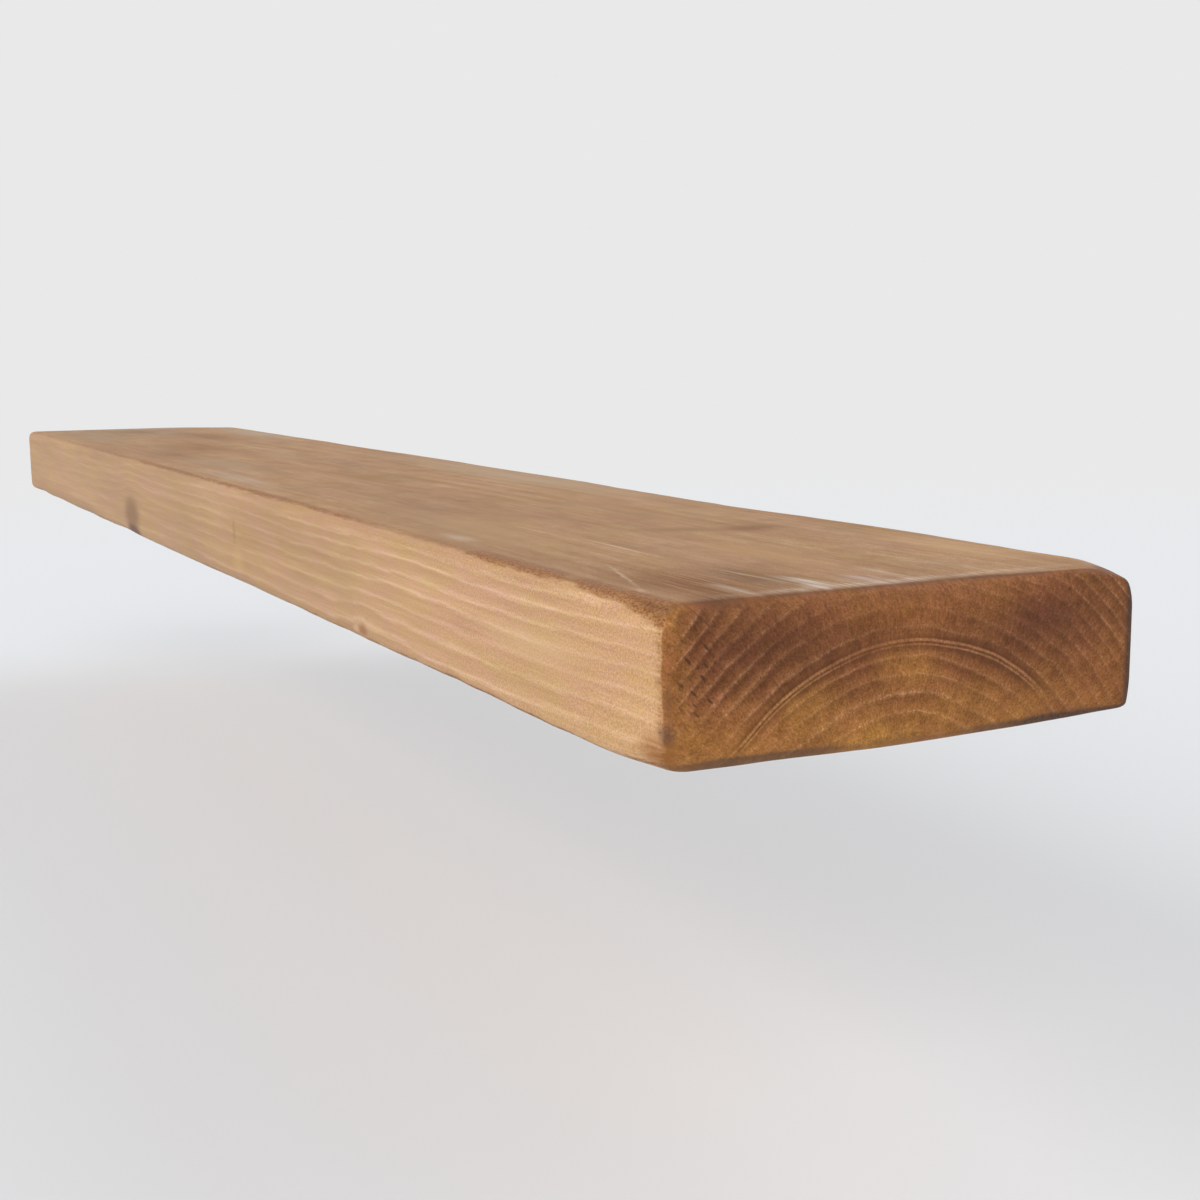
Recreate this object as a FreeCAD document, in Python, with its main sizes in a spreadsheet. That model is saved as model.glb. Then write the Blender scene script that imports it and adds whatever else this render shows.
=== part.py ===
# A floating wall shelf: one thick softwood plank with hand-eased edges, carried by
# three concealed brackets. Each bracket is a steel plate with a rod riveted through
# it, screwed to the wall into two expanding plugs. The plank's back is routed out
# over the plates and bored over the rods, so it pushes on until it meets the wall.
#
# Frame, in millimetres: X along the wall, Y into the wall, Z up. The origin lies in
# the plane of the wall, on the axis of the middle rod.
import FreeCAD, Part
import math
import os
import Sketcher
from FreeCAD import Vector

# Driving dimensions: word for the sheet, size in millimetres or degrees, what it is.
DIMENSIONS = (
    ("board_length", 1000.0, "plank, along the wall"),
    ("board_depth", 155.0, "plank, out from the wall"),
    ("board_thickness", 44.0, "plank, planed and sanded"),
    ("front_arris", 6.6, "rounding of the two long front edges"),
    ("back_arris", 4.0, "rounding of the two long edges at the wall"),
    ("right_end_arris", 8.6, "rounding of the right end, above and below"),
    ("left_top_arris", 4.0, "rounding of the left end, above"),
    ("left_bottom_arris", 6.5, "rounding of the left end, below"),
    ("upright_arris", 2.8, "rounding of the four upright corners"),
    ("trim_margin", 5.0, "how far the trimming cuts reach past the plank"),
    ("bracket_inset", 160.0, "from an end of the plank to its nearest bracket"),
    ("plate_width", 84.0, "wall plate, along the wall"),
    ("plate_height", 26.0, "wall plate, upright"),
    ("plate_thickness", 4.0, "wall plate"),
    ("plate_corner", 8.0, "radius of the wall plate's corners"),
    ("plate_edge_break", 0.5, "chamfer round the wall plate's front"),
    ("recess_clearance", 1.0, "round the plate in its recess"),
    ("recess_gap", 0.5, "between the plate's front and the recess floor"),
    ("rod_diameter", 12.0, "support rod"),
    ("rod_reach", 110.0, "from the wall to the tip of the rod"),
    ("rod_tip_chamfer", 1.5, "at the tip of the rod"),
    ("rod_clearance", 0.1, "round the rod in its bore, on the radius"),
    ("bore_end_gap", 8.0, "from the tip of the rod to the end of its bore"),
    ("bore_lead_in", 1.5, "chamfer at the mouth of the bore"),
    ("drill_point_angle", 118.0, "full angle of the drilled bore's end"),
    ("spigot_diameter", 8.0, "turned end of the rod, through the plate"),
    ("rivet_flare", 1.0, "how far the spigot is spread behind the plate"),
    ("rivet_clearance", 0.02, "round the riveted spigot, on the radius"),
    ("screw_spacing", 60.0, "between the two screws of a bracket"),
    ("screw_hole_diameter", 5.5, "in the wall plate"),
    ("screw_length", 50.0, "from the top of the head to the point"),
    ("screw_thread_diameter", 4.4, "mean diameter of the thread"),
    ("screw_head_diameter", 10.0, "countersunk head"),
    ("screw_head_land", 0.3, "straight rim of the head"),
    ("screw_seat_clearance", 0.1, "between the head's cone and its seat"),
    ("screw_point_length", 6.0, "tapered point"),
    ("screw_point_diameter", 0.8, "flat left at the very tip"),
    ("countersink_angle", 90.0, "full angle of every countersunk seat"),
    ("driver_slot_length", 5.4, "each arm-to-arm slot of the cross recess"),
    ("driver_slot_width", 1.3, "each slot of the cross recess"),
    ("driver_slot_depth", 2.6, "cross recess"),
    ("plug_length", 40.0, "wall plug"),
    ("plug_diameter", 8.0, "wall plug, and the hole drilled for it"),
    ("plug_collar_diameter", 10.4, "rim of the plug, at the wall's surface"),
    ("plug_collar_thickness", 1.0, "rim of the plug"),
    ("plug_bore_clearance", 0.05, "round the screw's thread, on the radius"),
    ("plug_tip_length", 4.0, "tapered end of the plug"),
    ("plug_tip_diameter", 6.4, "the very end of the plug"),
    ("plug_slot_width", 1.1, "each of the two crossing slots"),
    ("plug_slot_start", 9.0, "from the wall to the start of the slots"),
    ("plug_groove_start", 12.0, "from the wall to the first grip groove"),
    ("plug_groove_pitch", 7.0, "from one grip groove to the next"),
    ("plug_groove_length", 1.6, "sloping side of a grip groove"),
    ("plug_groove_depth", 0.6, "grip groove"),
)
BRACKET_STEP = "(Sizes.board_length / 2 - Sizes.bracket_inset)"
BRACKETS = {"left": f"-{BRACKET_STEP}", "middle": f"0 * {BRACKET_STEP}", "right": BRACKET_STEP}
SCREW_SIDES = {"left": "-Sizes.screw_spacing / 2", "right": "Sizes.screw_spacing / 2"}
GRIP_GROOVES = 3

doc = FreeCAD.newDocument("floating_wall_shelf")
sheet = doc.addObject("Spreadsheet::Sheet", "Sizes")


def fill_sheet():
    """Write every driving dimension into the sheet, with its meaning beside it."""
    for row, (alias, size, meaning) in enumerate(DIMENSIONS, start=1):
        sheet.set(f"A{row}", meaning)
        sheet.set(f"B{row}", str(size))
        sheet.setAlias(f"B{row}", alias)
    doc.recompute()


def size_of(expression):
    """The present value of an expression over the sheet."""
    return float(sheet.evalExpression(expression))


def bind(item, **expressions):
    """Tie properties of an object to expressions over the sheet."""
    for name, expression in expressions.items():
        item.setExpression(name, expression)


def new_body(label):
    """A sub-part: an empty PartDesign body with its own label."""
    body = doc.addObject("PartDesign::Body", label)
    body.Label = label
    return body


def sketch_on(body, role, name, lift="0"):
    """A sketch on one of the body's origin planes, lifted along the plane's normal."""
    sketch = body.newObject("Sketcher::SketchObject", f"{body.Label}_{name}")
    plane = next(item for item in body.Origin.OriginFeatures if item.Role == role)
    sketch.AttachmentSupport = (plane, "")
    sketch.MapMode = "FlatFace"
    sketch.setExpression("AttachmentOffset.Base.z", lift)
    return sketch


def axis_of(body, role):
    """One of the body's origin axes, as a feature takes it."""
    return (next(item for item in body.Origin.OriginFeatures if item.Role == role), [""])


def dimension(sketch, kind, *where, size):
    """Add one driving constraint and tie it to the sheet."""
    index = sketch.addConstraint(Sketcher.Constraint(kind, *where, size_of(size)))
    sketch.setExpression(f"Constraints[{index}]", size)


def place_point(sketch, line, end, x, y):
    """Fix one end of a line by its two coordinates from the sketch's origin."""
    dimension(sketch, "DistanceX", -1, 1, line, end, size=x)
    dimension(sketch, "DistanceY", -1, 1, line, end, size=y)


def polygon(sketch, corners):
    """A closed outline through corners, each a pair of expressions."""
    points = [Vector(size_of(x), size_of(y), 0) for x, y in corners]
    lines = [sketch.addGeometry(Part.LineSegment(start, end))
             for start, end in zip(points, points[1:] + points[:1])]
    for line, follower in zip(lines, lines[1:] + lines[:1]):
        sketch.addConstraint(Sketcher.Constraint("Coincident", line, 2, follower, 1))
    for line, (x, y) in zip(lines, corners):
        place_point(sketch, line, 1, x, y)


def circle(sketch, x, y, diameter):
    """A circle by its centre and its diameter."""
    centre = Vector(size_of(x), size_of(y), 0)
    ring = sketch.addGeometry(Part.Circle(centre, Vector(0, 0, 1), size_of(diameter) / 2))
    place_point(sketch, ring, 3, x, y)
    dimension(sketch, "Diameter", ring, size=diameter)


def rounded_rectangle(sketch, sides, radii):
    """A rectangle with four tangent corner arcs.

    sides holds the expressions of the left, bottom, right and top sides, and radii those
    of the corners, from bottom left counter-clockwise.
    """
    left, bottom, right, top = (size_of(side) for side in sides)
    low_left, low_right, high_right, high_left = (size_of(radius) for radius in radii)
    ends = (
        (Vector(left + low_left, bottom, 0), Vector(right - low_right, bottom, 0)),
        (Vector(right, bottom + low_right, 0), Vector(right, top - high_right, 0)),
        (Vector(right - high_right, top, 0), Vector(left + high_left, top, 0)),
        (Vector(left, top - high_left, 0), Vector(left, bottom + low_left, 0)),
    )
    bottom_line, right_line, top_line, left_line = (
        sketch.addGeometry(Part.LineSegment(*pair)) for pair in ends)
    around = (left_line, bottom_line, right_line, top_line)
    for line, kind in zip(around, ("Vertical", "Horizontal") * 2):
        sketch.addConstraint(Sketcher.Constraint(kind, line))
    centres = ((left + low_left, bottom + low_left), (right - low_right, bottom + low_right),
               (right - high_right, top - high_right), (left + high_left, top - high_left))
    for turn, (centre, radius) in enumerate(zip(centres, radii)):
        base = Part.Circle(Vector(*centre, 0), Vector(0, 0, 1), size_of(radius))
        span = (math.pi * (turn + 2) / 2, math.pi * (turn + 3) / 2)
        arc = sketch.addGeometry(Part.ArcOfCircle(base, *span))
        sketch.addConstraint(Sketcher.Constraint("Tangent", around[turn], 2, arc, 1))
        sketch.addConstraint(Sketcher.Constraint("Tangent", arc, 2, around[(turn + 1) % 4], 1))
        dimension(sketch, "Radius", arc, size=radius)
    place_point(sketch, left_line, 1, sides[0], f"{sides[3]} - {radii[3]}")
    place_point(sketch, right_line, 1, sides[2], f"{sides[1]} + {radii[1]}")


def pad(body, sketch, name, length, both_ways=False):
    """Extrude a sketch into solid material."""
    feature = body.newObject("PartDesign::Pad", f"{body.Label}_{name}")
    feature.Profile = sketch
    feature.SideType = "Symmetric" if both_ways else "One side"
    bind(feature, Length=length)
    return feature


def cut(body, sketch, name, depth=None, reverse=False):
    """Cut a sketch out of the body: to a depth, or right through both ways."""
    feature = body.newObject("PartDesign::Pocket", f"{body.Label}_{name}")
    feature.Profile = sketch
    feature.Reversed = reverse
    if depth is None:
        feature.Type = "ThroughAll"
        feature.SideType = "Symmetric"
    else:
        bind(feature, Length=depth)
    return feature


def turn(body, sketch, name, kind="PartDesign::Revolution"):
    """Turn a profile, drawn in the XY plane, about the body's Y axis."""
    feature = body.newObject(kind, f"{body.Label}_{name}")
    feature.Profile = sketch
    feature.ReferenceAxis = axis_of(body, "Y_Axis")
    feature.Angle = 360
    return feature


def drill(body, sketch, name, diameter, seat_diameter, depth=None, reverse=False):
    """Drill the sketch's circles, with a conical seat: to a depth, or right through."""
    doc.recompute()
    feature = body.newObject("PartDesign::Hole", f"{body.Label}_{name}")
    feature.Profile = sketch
    feature.Reversed = reverse
    feature.Threaded = False
    feature.HoleCutType = "Countersink"
    feature.HoleCutCustomValues = True
    bind(feature, Diameter=diameter, HoleCutDiameter=seat_diameter,
         HoleCutCountersinkAngle="Sizes.countersink_angle")
    if depth is None:
        feature.DepthType = "ThroughAll"
    else:
        feature.DepthType = "Dimension"
        feature.DrillPoint = "Angled"
        feature.DrillForDepth = False
        bind(feature, Depth=depth, DrillPointAngle="Sizes.drill_point_angle")
    return feature


def repeat(body, features, name, axis, step, copies):
    """Repeat features in a row, a step apart, and make the row the body's result."""
    feature = body.newObject("PartDesign::LinearPattern", f"{body.Label}_{name}")
    feature.Originals = features
    feature.Direction = axis_of(body, axis)
    feature.Mode = "Spacing"
    feature.Occurrences = copies
    bind(feature, Offset=step)
    body.Tip = feature
    return feature


def trim_outline(sketch, sides, radii):
    """Everything outside a rounded rectangle, out to the trimming margin."""
    rounded_rectangle(sketch, sides, radii)
    left, bottom, right, top = sides
    margin = "Sizes.trim_margin"
    low_x, low_y = f"{left} - {margin}", f"{bottom} - {margin}"
    high_x, high_y = f"{right} + {margin}", f"{top} + {margin}"
    polygon(sketch, ((low_x, low_y), (high_x, low_y), (high_x, high_y), (low_x, high_y)))


def shelf_board():
    """The plank: rounded on every edge, routed and bored at the back for the brackets."""
    body = new_body("shelf_board")
    left, right = "-Sizes.board_length / 2", "Sizes.board_length / 2"
    front, back = "-Sizes.board_depth", "0 * Sizes.board_depth"
    bottom, top = "-Sizes.board_thickness / 2", "Sizes.board_thickness / 2"
    section = sketch_on(body, "YZ_Plane", "section")
    rounded_rectangle(section, (front, bottom, back, top),
                      ("Sizes.front_arris", "Sizes.back_arris", "Sizes.back_arris",
                       "Sizes.front_arris"))
    pad(body, section, "plank", "Sizes.board_length", both_ways=True)
    elevation = sketch_on(body, "XZ_Plane", "elevation")
    trim_outline(elevation, (left, bottom, right, top),
                 ("Sizes.left_bottom_arris", "Sizes.right_end_arris", "Sizes.right_end_arris",
                  "Sizes.left_top_arris"))
    cut(body, elevation, "end_rounding")
    plan = sketch_on(body, "XY_Plane", "plan")
    trim_outline(plan, (left, front, right, back), ("Sizes.upright_arris",) * 4)
    cut(body, plan, "upright_rounding")
    first_bracket = BRACKETS["left"]
    recess_depth = "Sizes.plate_thickness + Sizes.recess_gap"
    half_width = "(Sizes.plate_width / 2 + Sizes.recess_clearance)"
    half_height = "(Sizes.plate_height / 2 + Sizes.recess_clearance)"
    recess_outline = sketch_on(body, "XZ_Plane", "recess_outline")
    rounded_rectangle(recess_outline,
                      (f"{first_bracket} - {half_width}", f"-{half_height}",
                       f"{first_bracket} + {half_width}", half_height),
                      ("Sizes.plate_corner + Sizes.recess_clearance",) * 4)
    recess = cut(body, recess_outline, "plate_recess", recess_depth, reverse=True)
    bore_centre = sketch_on(body, "XZ_Plane", "bore_centre", lift=recess_depth)
    bore_diameter = "Sizes.rod_diameter + 2 * Sizes.rod_clearance"
    circle(bore_centre, first_bracket, "0 * Sizes.rod_diameter", bore_diameter)
    bore = drill(body, bore_centre, "rod_bore", bore_diameter,
                 f"{bore_diameter} + 2 * Sizes.bore_lead_in",
                 f"Sizes.rod_reach + Sizes.bore_end_gap - ({recess_depth})", reverse=True)
    repeat(body, [recess, bore], "bracket_row", "X_Axis", BRACKET_STEP, len(BRACKETS))
    return body


def wall_plate(bracket):
    """A steel plate with a hole for the rod's spigot and two seats for the screws."""
    body = new_body(f"{bracket}_bracket_plate")
    outline = sketch_on(body, "XZ_Plane", "outline")
    rounded_rectangle(outline,
                      ("-Sizes.plate_width / 2", "-Sizes.plate_height / 2",
                       "Sizes.plate_width / 2", "Sizes.plate_height / 2"),
                      ("Sizes.plate_corner",) * 4)
    plate = pad(body, outline, "plate", "Sizes.plate_thickness")
    doc.recompute()
    edge_break = body.newObject("PartDesign::Chamfer", f"{body.Label}_edge_break")
    front = min(enumerate(plate.Shape.Faces, start=1), key=lambda face: face[1].CenterOfMass.y)
    edge_break.Base = (plate, [f"Face{front[0]}"])
    bind(edge_break, Size="Sizes.plate_edge_break")
    spigot_centre = sketch_on(body, "XZ_Plane", "spigot_centre")
    spigot_hole = "Sizes.spigot_diameter + 2 * Sizes.rivet_clearance"
    circle(spigot_centre, "0 * Sizes.plate_width", "0 * Sizes.plate_height", spigot_hole)
    drill(body, spigot_centre, "spigot_hole", spigot_hole,
          f"{spigot_hole} + 2 * Sizes.rivet_flare", reverse=True)
    screw_centres = sketch_on(body, "XZ_Plane", "screw_centres", lift="Sizes.plate_thickness")
    for along in SCREW_SIDES.values():
        circle(screw_centres, along, "0 * Sizes.plate_height", "Sizes.screw_hole_diameter")
    drill(body, screw_centres, "screw_holes", "Sizes.screw_hole_diameter",
          "Sizes.screw_head_diameter + 2 * (Sizes.screw_head_land + Sizes.screw_seat_clearance)")
    return body


def support_rod(bracket):
    """A round rod with a turned spigot, spread like a rivet behind the plate."""
    body = new_body(f"{bracket}_bracket_rod")
    axis, rod, spigot = "0 * Sizes.rod_diameter", "Sizes.rod_diameter / 2", "Sizes.spigot_diameter / 2"
    wall, shoulder, tip = axis, "-Sizes.plate_thickness", "-Sizes.rod_reach"
    profile = sketch_on(body, "XY_Plane", "profile")
    polygon(profile, (
        (axis, wall),
        (axis, tip),
        (f"{rod} - Sizes.rod_tip_chamfer", tip),
        (rod, f"{tip} + Sizes.rod_tip_chamfer"),
        (rod, shoulder),
        (spigot, shoulder),
        (spigot, "-Sizes.rivet_flare"),
        (f"{spigot} + Sizes.rivet_flare", wall),
    ))
    turn(body, profile, "turned_rod")
    return body


def plate_screw(bracket, side):
    """A countersunk wood screw with a cross recess; its thread is a plain cylinder."""
    body = new_body(f"{bracket}_bracket_{side}_screw")
    axis = "0 * Sizes.screw_length"
    top, point = "-Sizes.plate_thickness", "Sizes.screw_length - Sizes.plate_thickness"
    head, shank = "Sizes.screw_head_diameter / 2", "Sizes.screw_thread_diameter / 2"
    under_rim = f"{top} + Sizes.screw_head_land"
    profile = sketch_on(body, "XY_Plane", "profile")
    polygon(profile, (
        (axis, point),
        (axis, top),
        (head, top),
        (head, under_rim),
        (shank, f"{under_rim} + {head} - {shank}"),
        (shank, f"{point} - Sizes.screw_point_length"),
        ("Sizes.screw_point_diameter / 2", point),
    ))
    turn(body, profile, "turned_screw")
    across, half = "Sizes.driver_slot_length / 2", "Sizes.driver_slot_width / 2"
    recess = sketch_on(body, "XZ_Plane", "driver_cross", lift="Sizes.plate_thickness")
    polygon(recess, (
        (f"-{across}", f"-{half}"), (f"-{half}", f"-{half}"), (f"-{half}", f"-{across}"),
        (half, f"-{across}"), (half, f"-{half}"), (across, f"-{half}"),
        (across, half), (half, half), (half, across),
        (f"-{half}", across), (f"-{half}", half), (f"-{across}", half),
    ))
    cut(body, recess, "driver_recess", "Sizes.driver_slot_depth")
    return body


def wall_plug(bracket, side):
    """A nylon wall plug: a split, grooved tube that the screw spreads in its hole."""
    body = new_body(f"{bracket}_bracket_{side}_plug")
    bore = "Sizes.screw_thread_diameter / 2 + Sizes.plug_bore_clearance"
    outside, end = "Sizes.plug_diameter / 2", "Sizes.plug_length"
    collar, tip = "Sizes.plug_collar_diameter / 2", "Sizes.plug_tip_diameter / 2"
    wall = "0 * Sizes.plug_length"
    profile = sketch_on(body, "XY_Plane", "profile")
    polygon(profile, (
        (bore, wall),
        (collar, wall),
        (collar, "Sizes.plug_collar_thickness"),
        (outside, "Sizes.plug_collar_thickness"),
        (outside, f"{end} - Sizes.plug_tip_length"),
        (tip, end),
        (bore, end),
    ))
    turn(body, profile, "moulded_tube")
    groove_profile = sketch_on(body, "XY_Plane", "groove_profile")
    start = "Sizes.plug_groove_start"
    polygon(groove_profile, (
        (outside, start),
        (outside, f"{start} + Sizes.plug_groove_length"),
        (f"{outside} - Sizes.plug_groove_depth", f"{start} + Sizes.plug_groove_length"),
    ))
    groove = turn(body, groove_profile, "grip_groove", "PartDesign::Groove")
    repeat(body, [groove], "grip_grooves", "Y_Axis", "Sizes.plug_groove_pitch", GRIP_GROOVES)
    half = "Sizes.plug_slot_width / 2"
    slot_start, slot_end = "Sizes.plug_slot_start", f"{end} + Sizes.trim_margin"
    upright_slot = sketch_on(body, "XY_Plane", "upright_slot_outline")
    polygon(upright_slot, ((f"-{half}", slot_start), (half, slot_start),
                           (half, slot_end), (f"-{half}", slot_end)))
    cut(body, upright_slot, "upright_slot")
    level_slot = sketch_on(body, "YZ_Plane", "level_slot_outline")
    polygon(level_slot, ((slot_start, f"-{half}"), (slot_end, f"-{half}"),
                         (slot_end, half), (slot_start, half)))
    cut(body, level_slot, "level_slot")
    return body


def build():
    """Make every sub-part and put it in its place; returns them in order."""
    fill_sheet()
    parts = [shelf_board()]
    for bracket, along in BRACKETS.items():
        for part in (wall_plate(bracket), support_rod(bracket)):
            part.setExpression("Placement.Base.x", along)
            parts.append(part)
        for side, offset in SCREW_SIDES.items():
            for part in (plate_screw(bracket, side), wall_plug(bracket, side)):
                part.setExpression("Placement.Base.x", f"{along} + {offset}")
                parts.append(part)
    doc.recompute()
    return parts


def check(parts):
    """Stop if a feature failed or a sub-part isn't one valid solid."""
    for item in doc.Objects:
        if {"Invalid", "Error"} & set(item.State):
            raise RuntimeError(f"{item.Label} failed: {item.State}")
        if item.isDerivedFrom("Sketcher::SketchObject") and not item.FullyConstrained:
            raise RuntimeError(f"{item.Label} isn't fully constrained")
    for part in parts:
        if part.Shape.isNull() or not part.Shape.isValid() or len(part.Shape.Solids) != 1:
            raise RuntimeError(f"{part.Label} isn't one valid solid")


def write(parts):
    """Write each sub-part to its own STEP file."""
    os.makedirs("parts", exist_ok=True)
    for part in parts:
        part.Shape.exportStep(f"parts/{part.Label}.step")
        box = part.Shape.BoundBox
        print(f"{part.Label}: {part.Shape.Volume:.1f} mm3, "
              f"{box.XLength:.2f} x {box.YLength:.2f} x {box.ZLength:.2f} mm")


subparts = build()
check(subparts)
write(subparts)
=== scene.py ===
"""Looks of a wall shelf: one planed softwood board that slides onto three hidden steel brackets.

Lengths are in millimetres until a mesh is made, which is in metres. The frame is the one the
solids use: +X along the wall, +Y into the wall, +Z up, with the wall at y = 0.
"""

import functools
import logging
import math
from dataclasses import dataclass
from enum import Enum
from typing import Any, Iterable, Mapping, Optional

import bpy
import numpy as np
from mathutils import Matrix, Vector


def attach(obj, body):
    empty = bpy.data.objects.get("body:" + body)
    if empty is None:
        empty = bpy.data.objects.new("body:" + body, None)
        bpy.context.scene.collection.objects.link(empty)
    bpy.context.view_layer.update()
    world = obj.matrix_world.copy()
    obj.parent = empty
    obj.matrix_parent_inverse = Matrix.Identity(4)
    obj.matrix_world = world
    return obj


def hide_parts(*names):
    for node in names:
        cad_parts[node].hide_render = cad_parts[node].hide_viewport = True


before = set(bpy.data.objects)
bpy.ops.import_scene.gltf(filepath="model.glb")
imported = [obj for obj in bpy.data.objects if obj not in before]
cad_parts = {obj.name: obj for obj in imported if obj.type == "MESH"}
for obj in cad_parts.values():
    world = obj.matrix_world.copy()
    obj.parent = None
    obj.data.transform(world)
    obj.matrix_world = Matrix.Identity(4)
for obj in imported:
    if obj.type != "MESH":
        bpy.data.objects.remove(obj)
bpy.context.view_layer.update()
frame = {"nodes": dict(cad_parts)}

MM = 0.001
LOG = logging.getLogger("wall_shelf")
Stops = tuple[tuple[float, float], ...]
Profile = tuple[tuple[float, ...], tuple[float, ...]]


# ---------------------------------------------------------------- helpers


def linear(code: str) -> tuple[float, float, float, float]:
    """Turns an sRGB hex colour into the linear colour that the nodes take.

    Args:
        code: six hex digits, such as "D3AA84".

    Returns:
        Red, green, blue and an opaque alpha.
    """
    parts = [int(code[i:i + 2], 16) / 255 for i in (0, 2, 4)]
    return (*[p / 12.92 if p <= 0.04045 else ((p + 0.055) / 1.055) ** 2.4 for p in parts], 1.0)


def add_node(tree: bpy.types.NodeTree, kind: str, links: Optional[Mapping[Any, Any]] = None,
             out: Any = 0, **settings: Any) -> Any:
    """Adds one node, with its settings, its constants and its links.

    Args:
        tree: The node tree that gets the node.
        kind: The node's type, without "ShaderNode" in front.
        links: For each input, by name or number, a socket to link or a constant to set.
        out: The output to return, by name or number, or None for the node itself.
        settings: The node's own properties; "stops" are a colour ramp's places and colours.

    Returns:
        The chosen output socket, or the node.
    """
    node = tree.nodes.new("ShaderNode" + kind)
    for name, value in settings.items():
        if name == "stops":
            elements = node.color_ramp.elements
            while len(elements) < len(value):
                elements.new(0.5)
            for element, (place, tint) in zip(elements, value):
                element.position = place
                element.color = tint if isinstance(tint, tuple) else (tint, tint, tint, 1.0)
        elif name == "blend":
            node.color_ramp.interpolation = value
        else:
            setattr(node, name, value)
    for key, value in (links or {}).items():
        if isinstance(value, bpy.types.NodeSocket):
            tree.links.new(value, node.inputs[key])
        else:
            node.inputs[key].default_value = value
    return node if out is None else node.outputs[out]


def new_material(name: str) -> tuple[bpy.types.Material, bpy.types.NodeTree]:
    """Makes an empty node material.

    Args:
        name: What the real material is called.

    Returns:
        The material and its cleared node tree.
    """
    material = bpy.data.materials.new(name)
    material.use_nodes = True
    material.node_tree.nodes.clear()
    return material, material.node_tree


def millimetres(tree: bpy.types.NodeTree) -> bpy.types.NodeSocket:
    """Object coordinates, turned from metres to millimetres."""
    place = add_node(tree, "TexCoord", out="Object")
    return add_node(tree, "VectorMath", {0: place, 1: (1000.0,) * 3}, operation="MULTIPLY")


@dataclass(frozen=True)
class LatticeNoise:
    """Smooth noise that is the same on every run.

    Attributes:
        seed: Picks the random values at the lattice's corners.
    """

    seed: int

    def at(self, points: np.ndarray, cell: tuple[float, float, float]) -> np.ndarray:
        """Blends the values at the eight corners round each point with 3f^2 - 2f^3.

        Args:
            points: An (n, 3) array of places.
            cell: The lattice's spacing along each axis.

        Returns:
            n values between -1 and 1.
        """
        table = np.random.default_rng(self.seed).uniform(-1, 1, 4096)
        scaled = points / np.asarray(cell)
        low = np.floor(scaled).astype(np.int64)
        part = scaled - low
        part = part * part * (3 - 2 * part)
        total = np.zeros(len(points))
        for corner in range(8):
            step = np.array([corner >> axis & 1 for axis in range(3)])
            x, y, z = (low + step).T
            hashed = (x * 73856093 ^ y * 19349663 ^ z * 83492791) & 4095
            total += np.prod(np.where(step == 1, part, 1 - part), axis=1) * table[hashed]
        return total


def smooth_step(low: float, high: float, value: np.ndarray) -> np.ndarray:
    """0 below low, 1 above high, and 3t^2 - 2t^3 between them."""
    t = np.clip((value - low) / (high - low), 0, 1)
    return t * t * (3 - 2 * t)


def box_shell(xs: np.ndarray, ys: np.ndarray, zs: np.ndarray) -> tuple[np.ndarray, np.ndarray]:
    """The six sides of a box as grids of quads that share their edges, facing outwards.

    Args:
        xs: Rising places of the grid planes along X; ys and zs the same along Y and Z.

    Returns:
        An (n, 3) array of points and an (m, 4) array of quads.
    """
    counts = (len(xs), len(ys), len(zs))
    quads = []
    for axis in range(3):
        u, v = (axis + 1) % 3, (axis + 2) % 3
        grid_u, grid_v = np.meshgrid(np.arange(counts[u]), np.arange(counts[v]), indexing="ij")
        for side in (0, counts[axis] - 1):
            index = [grid_u, grid_u, grid_u]
            index[axis], index[u], index[v] = np.full_like(grid_u, side), grid_u, grid_v
            key = (index[0] * counts[1] + index[1]) * counts[2] + index[2]
            quad = np.stack([key[:-1, :-1], key[1:, :-1], key[1:, 1:], key[:-1, 1:]], -1)
            quads.append(quad.reshape(-1, 4)[:, ::1 if side else -1])
    used, faces = np.unique(np.concatenate(quads), return_inverse=True)
    i, rest = np.divmod(used, counts[1] * counts[2])
    j, k = np.divmod(rest, counts[2])
    return np.stack([xs[i], ys[j], zs[k]], 1), faces.reshape(-1, 4)


def turned_skin(rows: np.ndarray, first: np.ndarray, last: np.ndarray) -> tuple[np.ndarray, list]:
    """Closes a stack of rings with a point at each end, facing outwards.

    Args:
        rows: An (m, n, 3) array: m rings of n points, each ring turning from +X to +Z,
            with the rings in the order of rising y.
        first: The point that closes the first ring.
        last: The point that closes the last ring.

    Returns:
        The points and the faces.
    """
    m, n = rows.shape[:2]
    number = np.arange(m * n).reshape(m, n)
    beside = np.roll(number, -1, axis=1)
    quads = np.stack([number[:-1], number[1:], beside[1:], beside[:-1]], -1).reshape(-1, 4)
    start = np.stack([np.full(n, m * n), number[0], beside[0]], -1)
    end = np.stack([np.full(n, m * n + 1), beside[-1], number[-1]], -1)
    points = np.concatenate([rows.reshape(-1, 3), [first, last]])
    return points, quads.tolist() + start.tolist() + end.tolist()


def new_piece(name: str, points: np.ndarray, faces: Iterable[Any]) -> bpy.types.Object:
    """Puts a mesh into the scene; its object stays at the origin.

    Args:
        name: The piece's name.
        points: An (n, 3) array in millimetres.
        faces: The corners of each face.

    Returns:
        The object, with smooth shading.
    """
    mesh = bpy.data.meshes.new(name)
    faces = faces.tolist() if isinstance(faces, np.ndarray) else faces
    mesh.from_pydata((points * MM).tolist(), [], faces)
    mesh.shade_smooth()
    piece = bpy.data.objects.new(name, mesh)
    bpy.context.scene.collection.objects.link(piece)
    return piece


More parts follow.
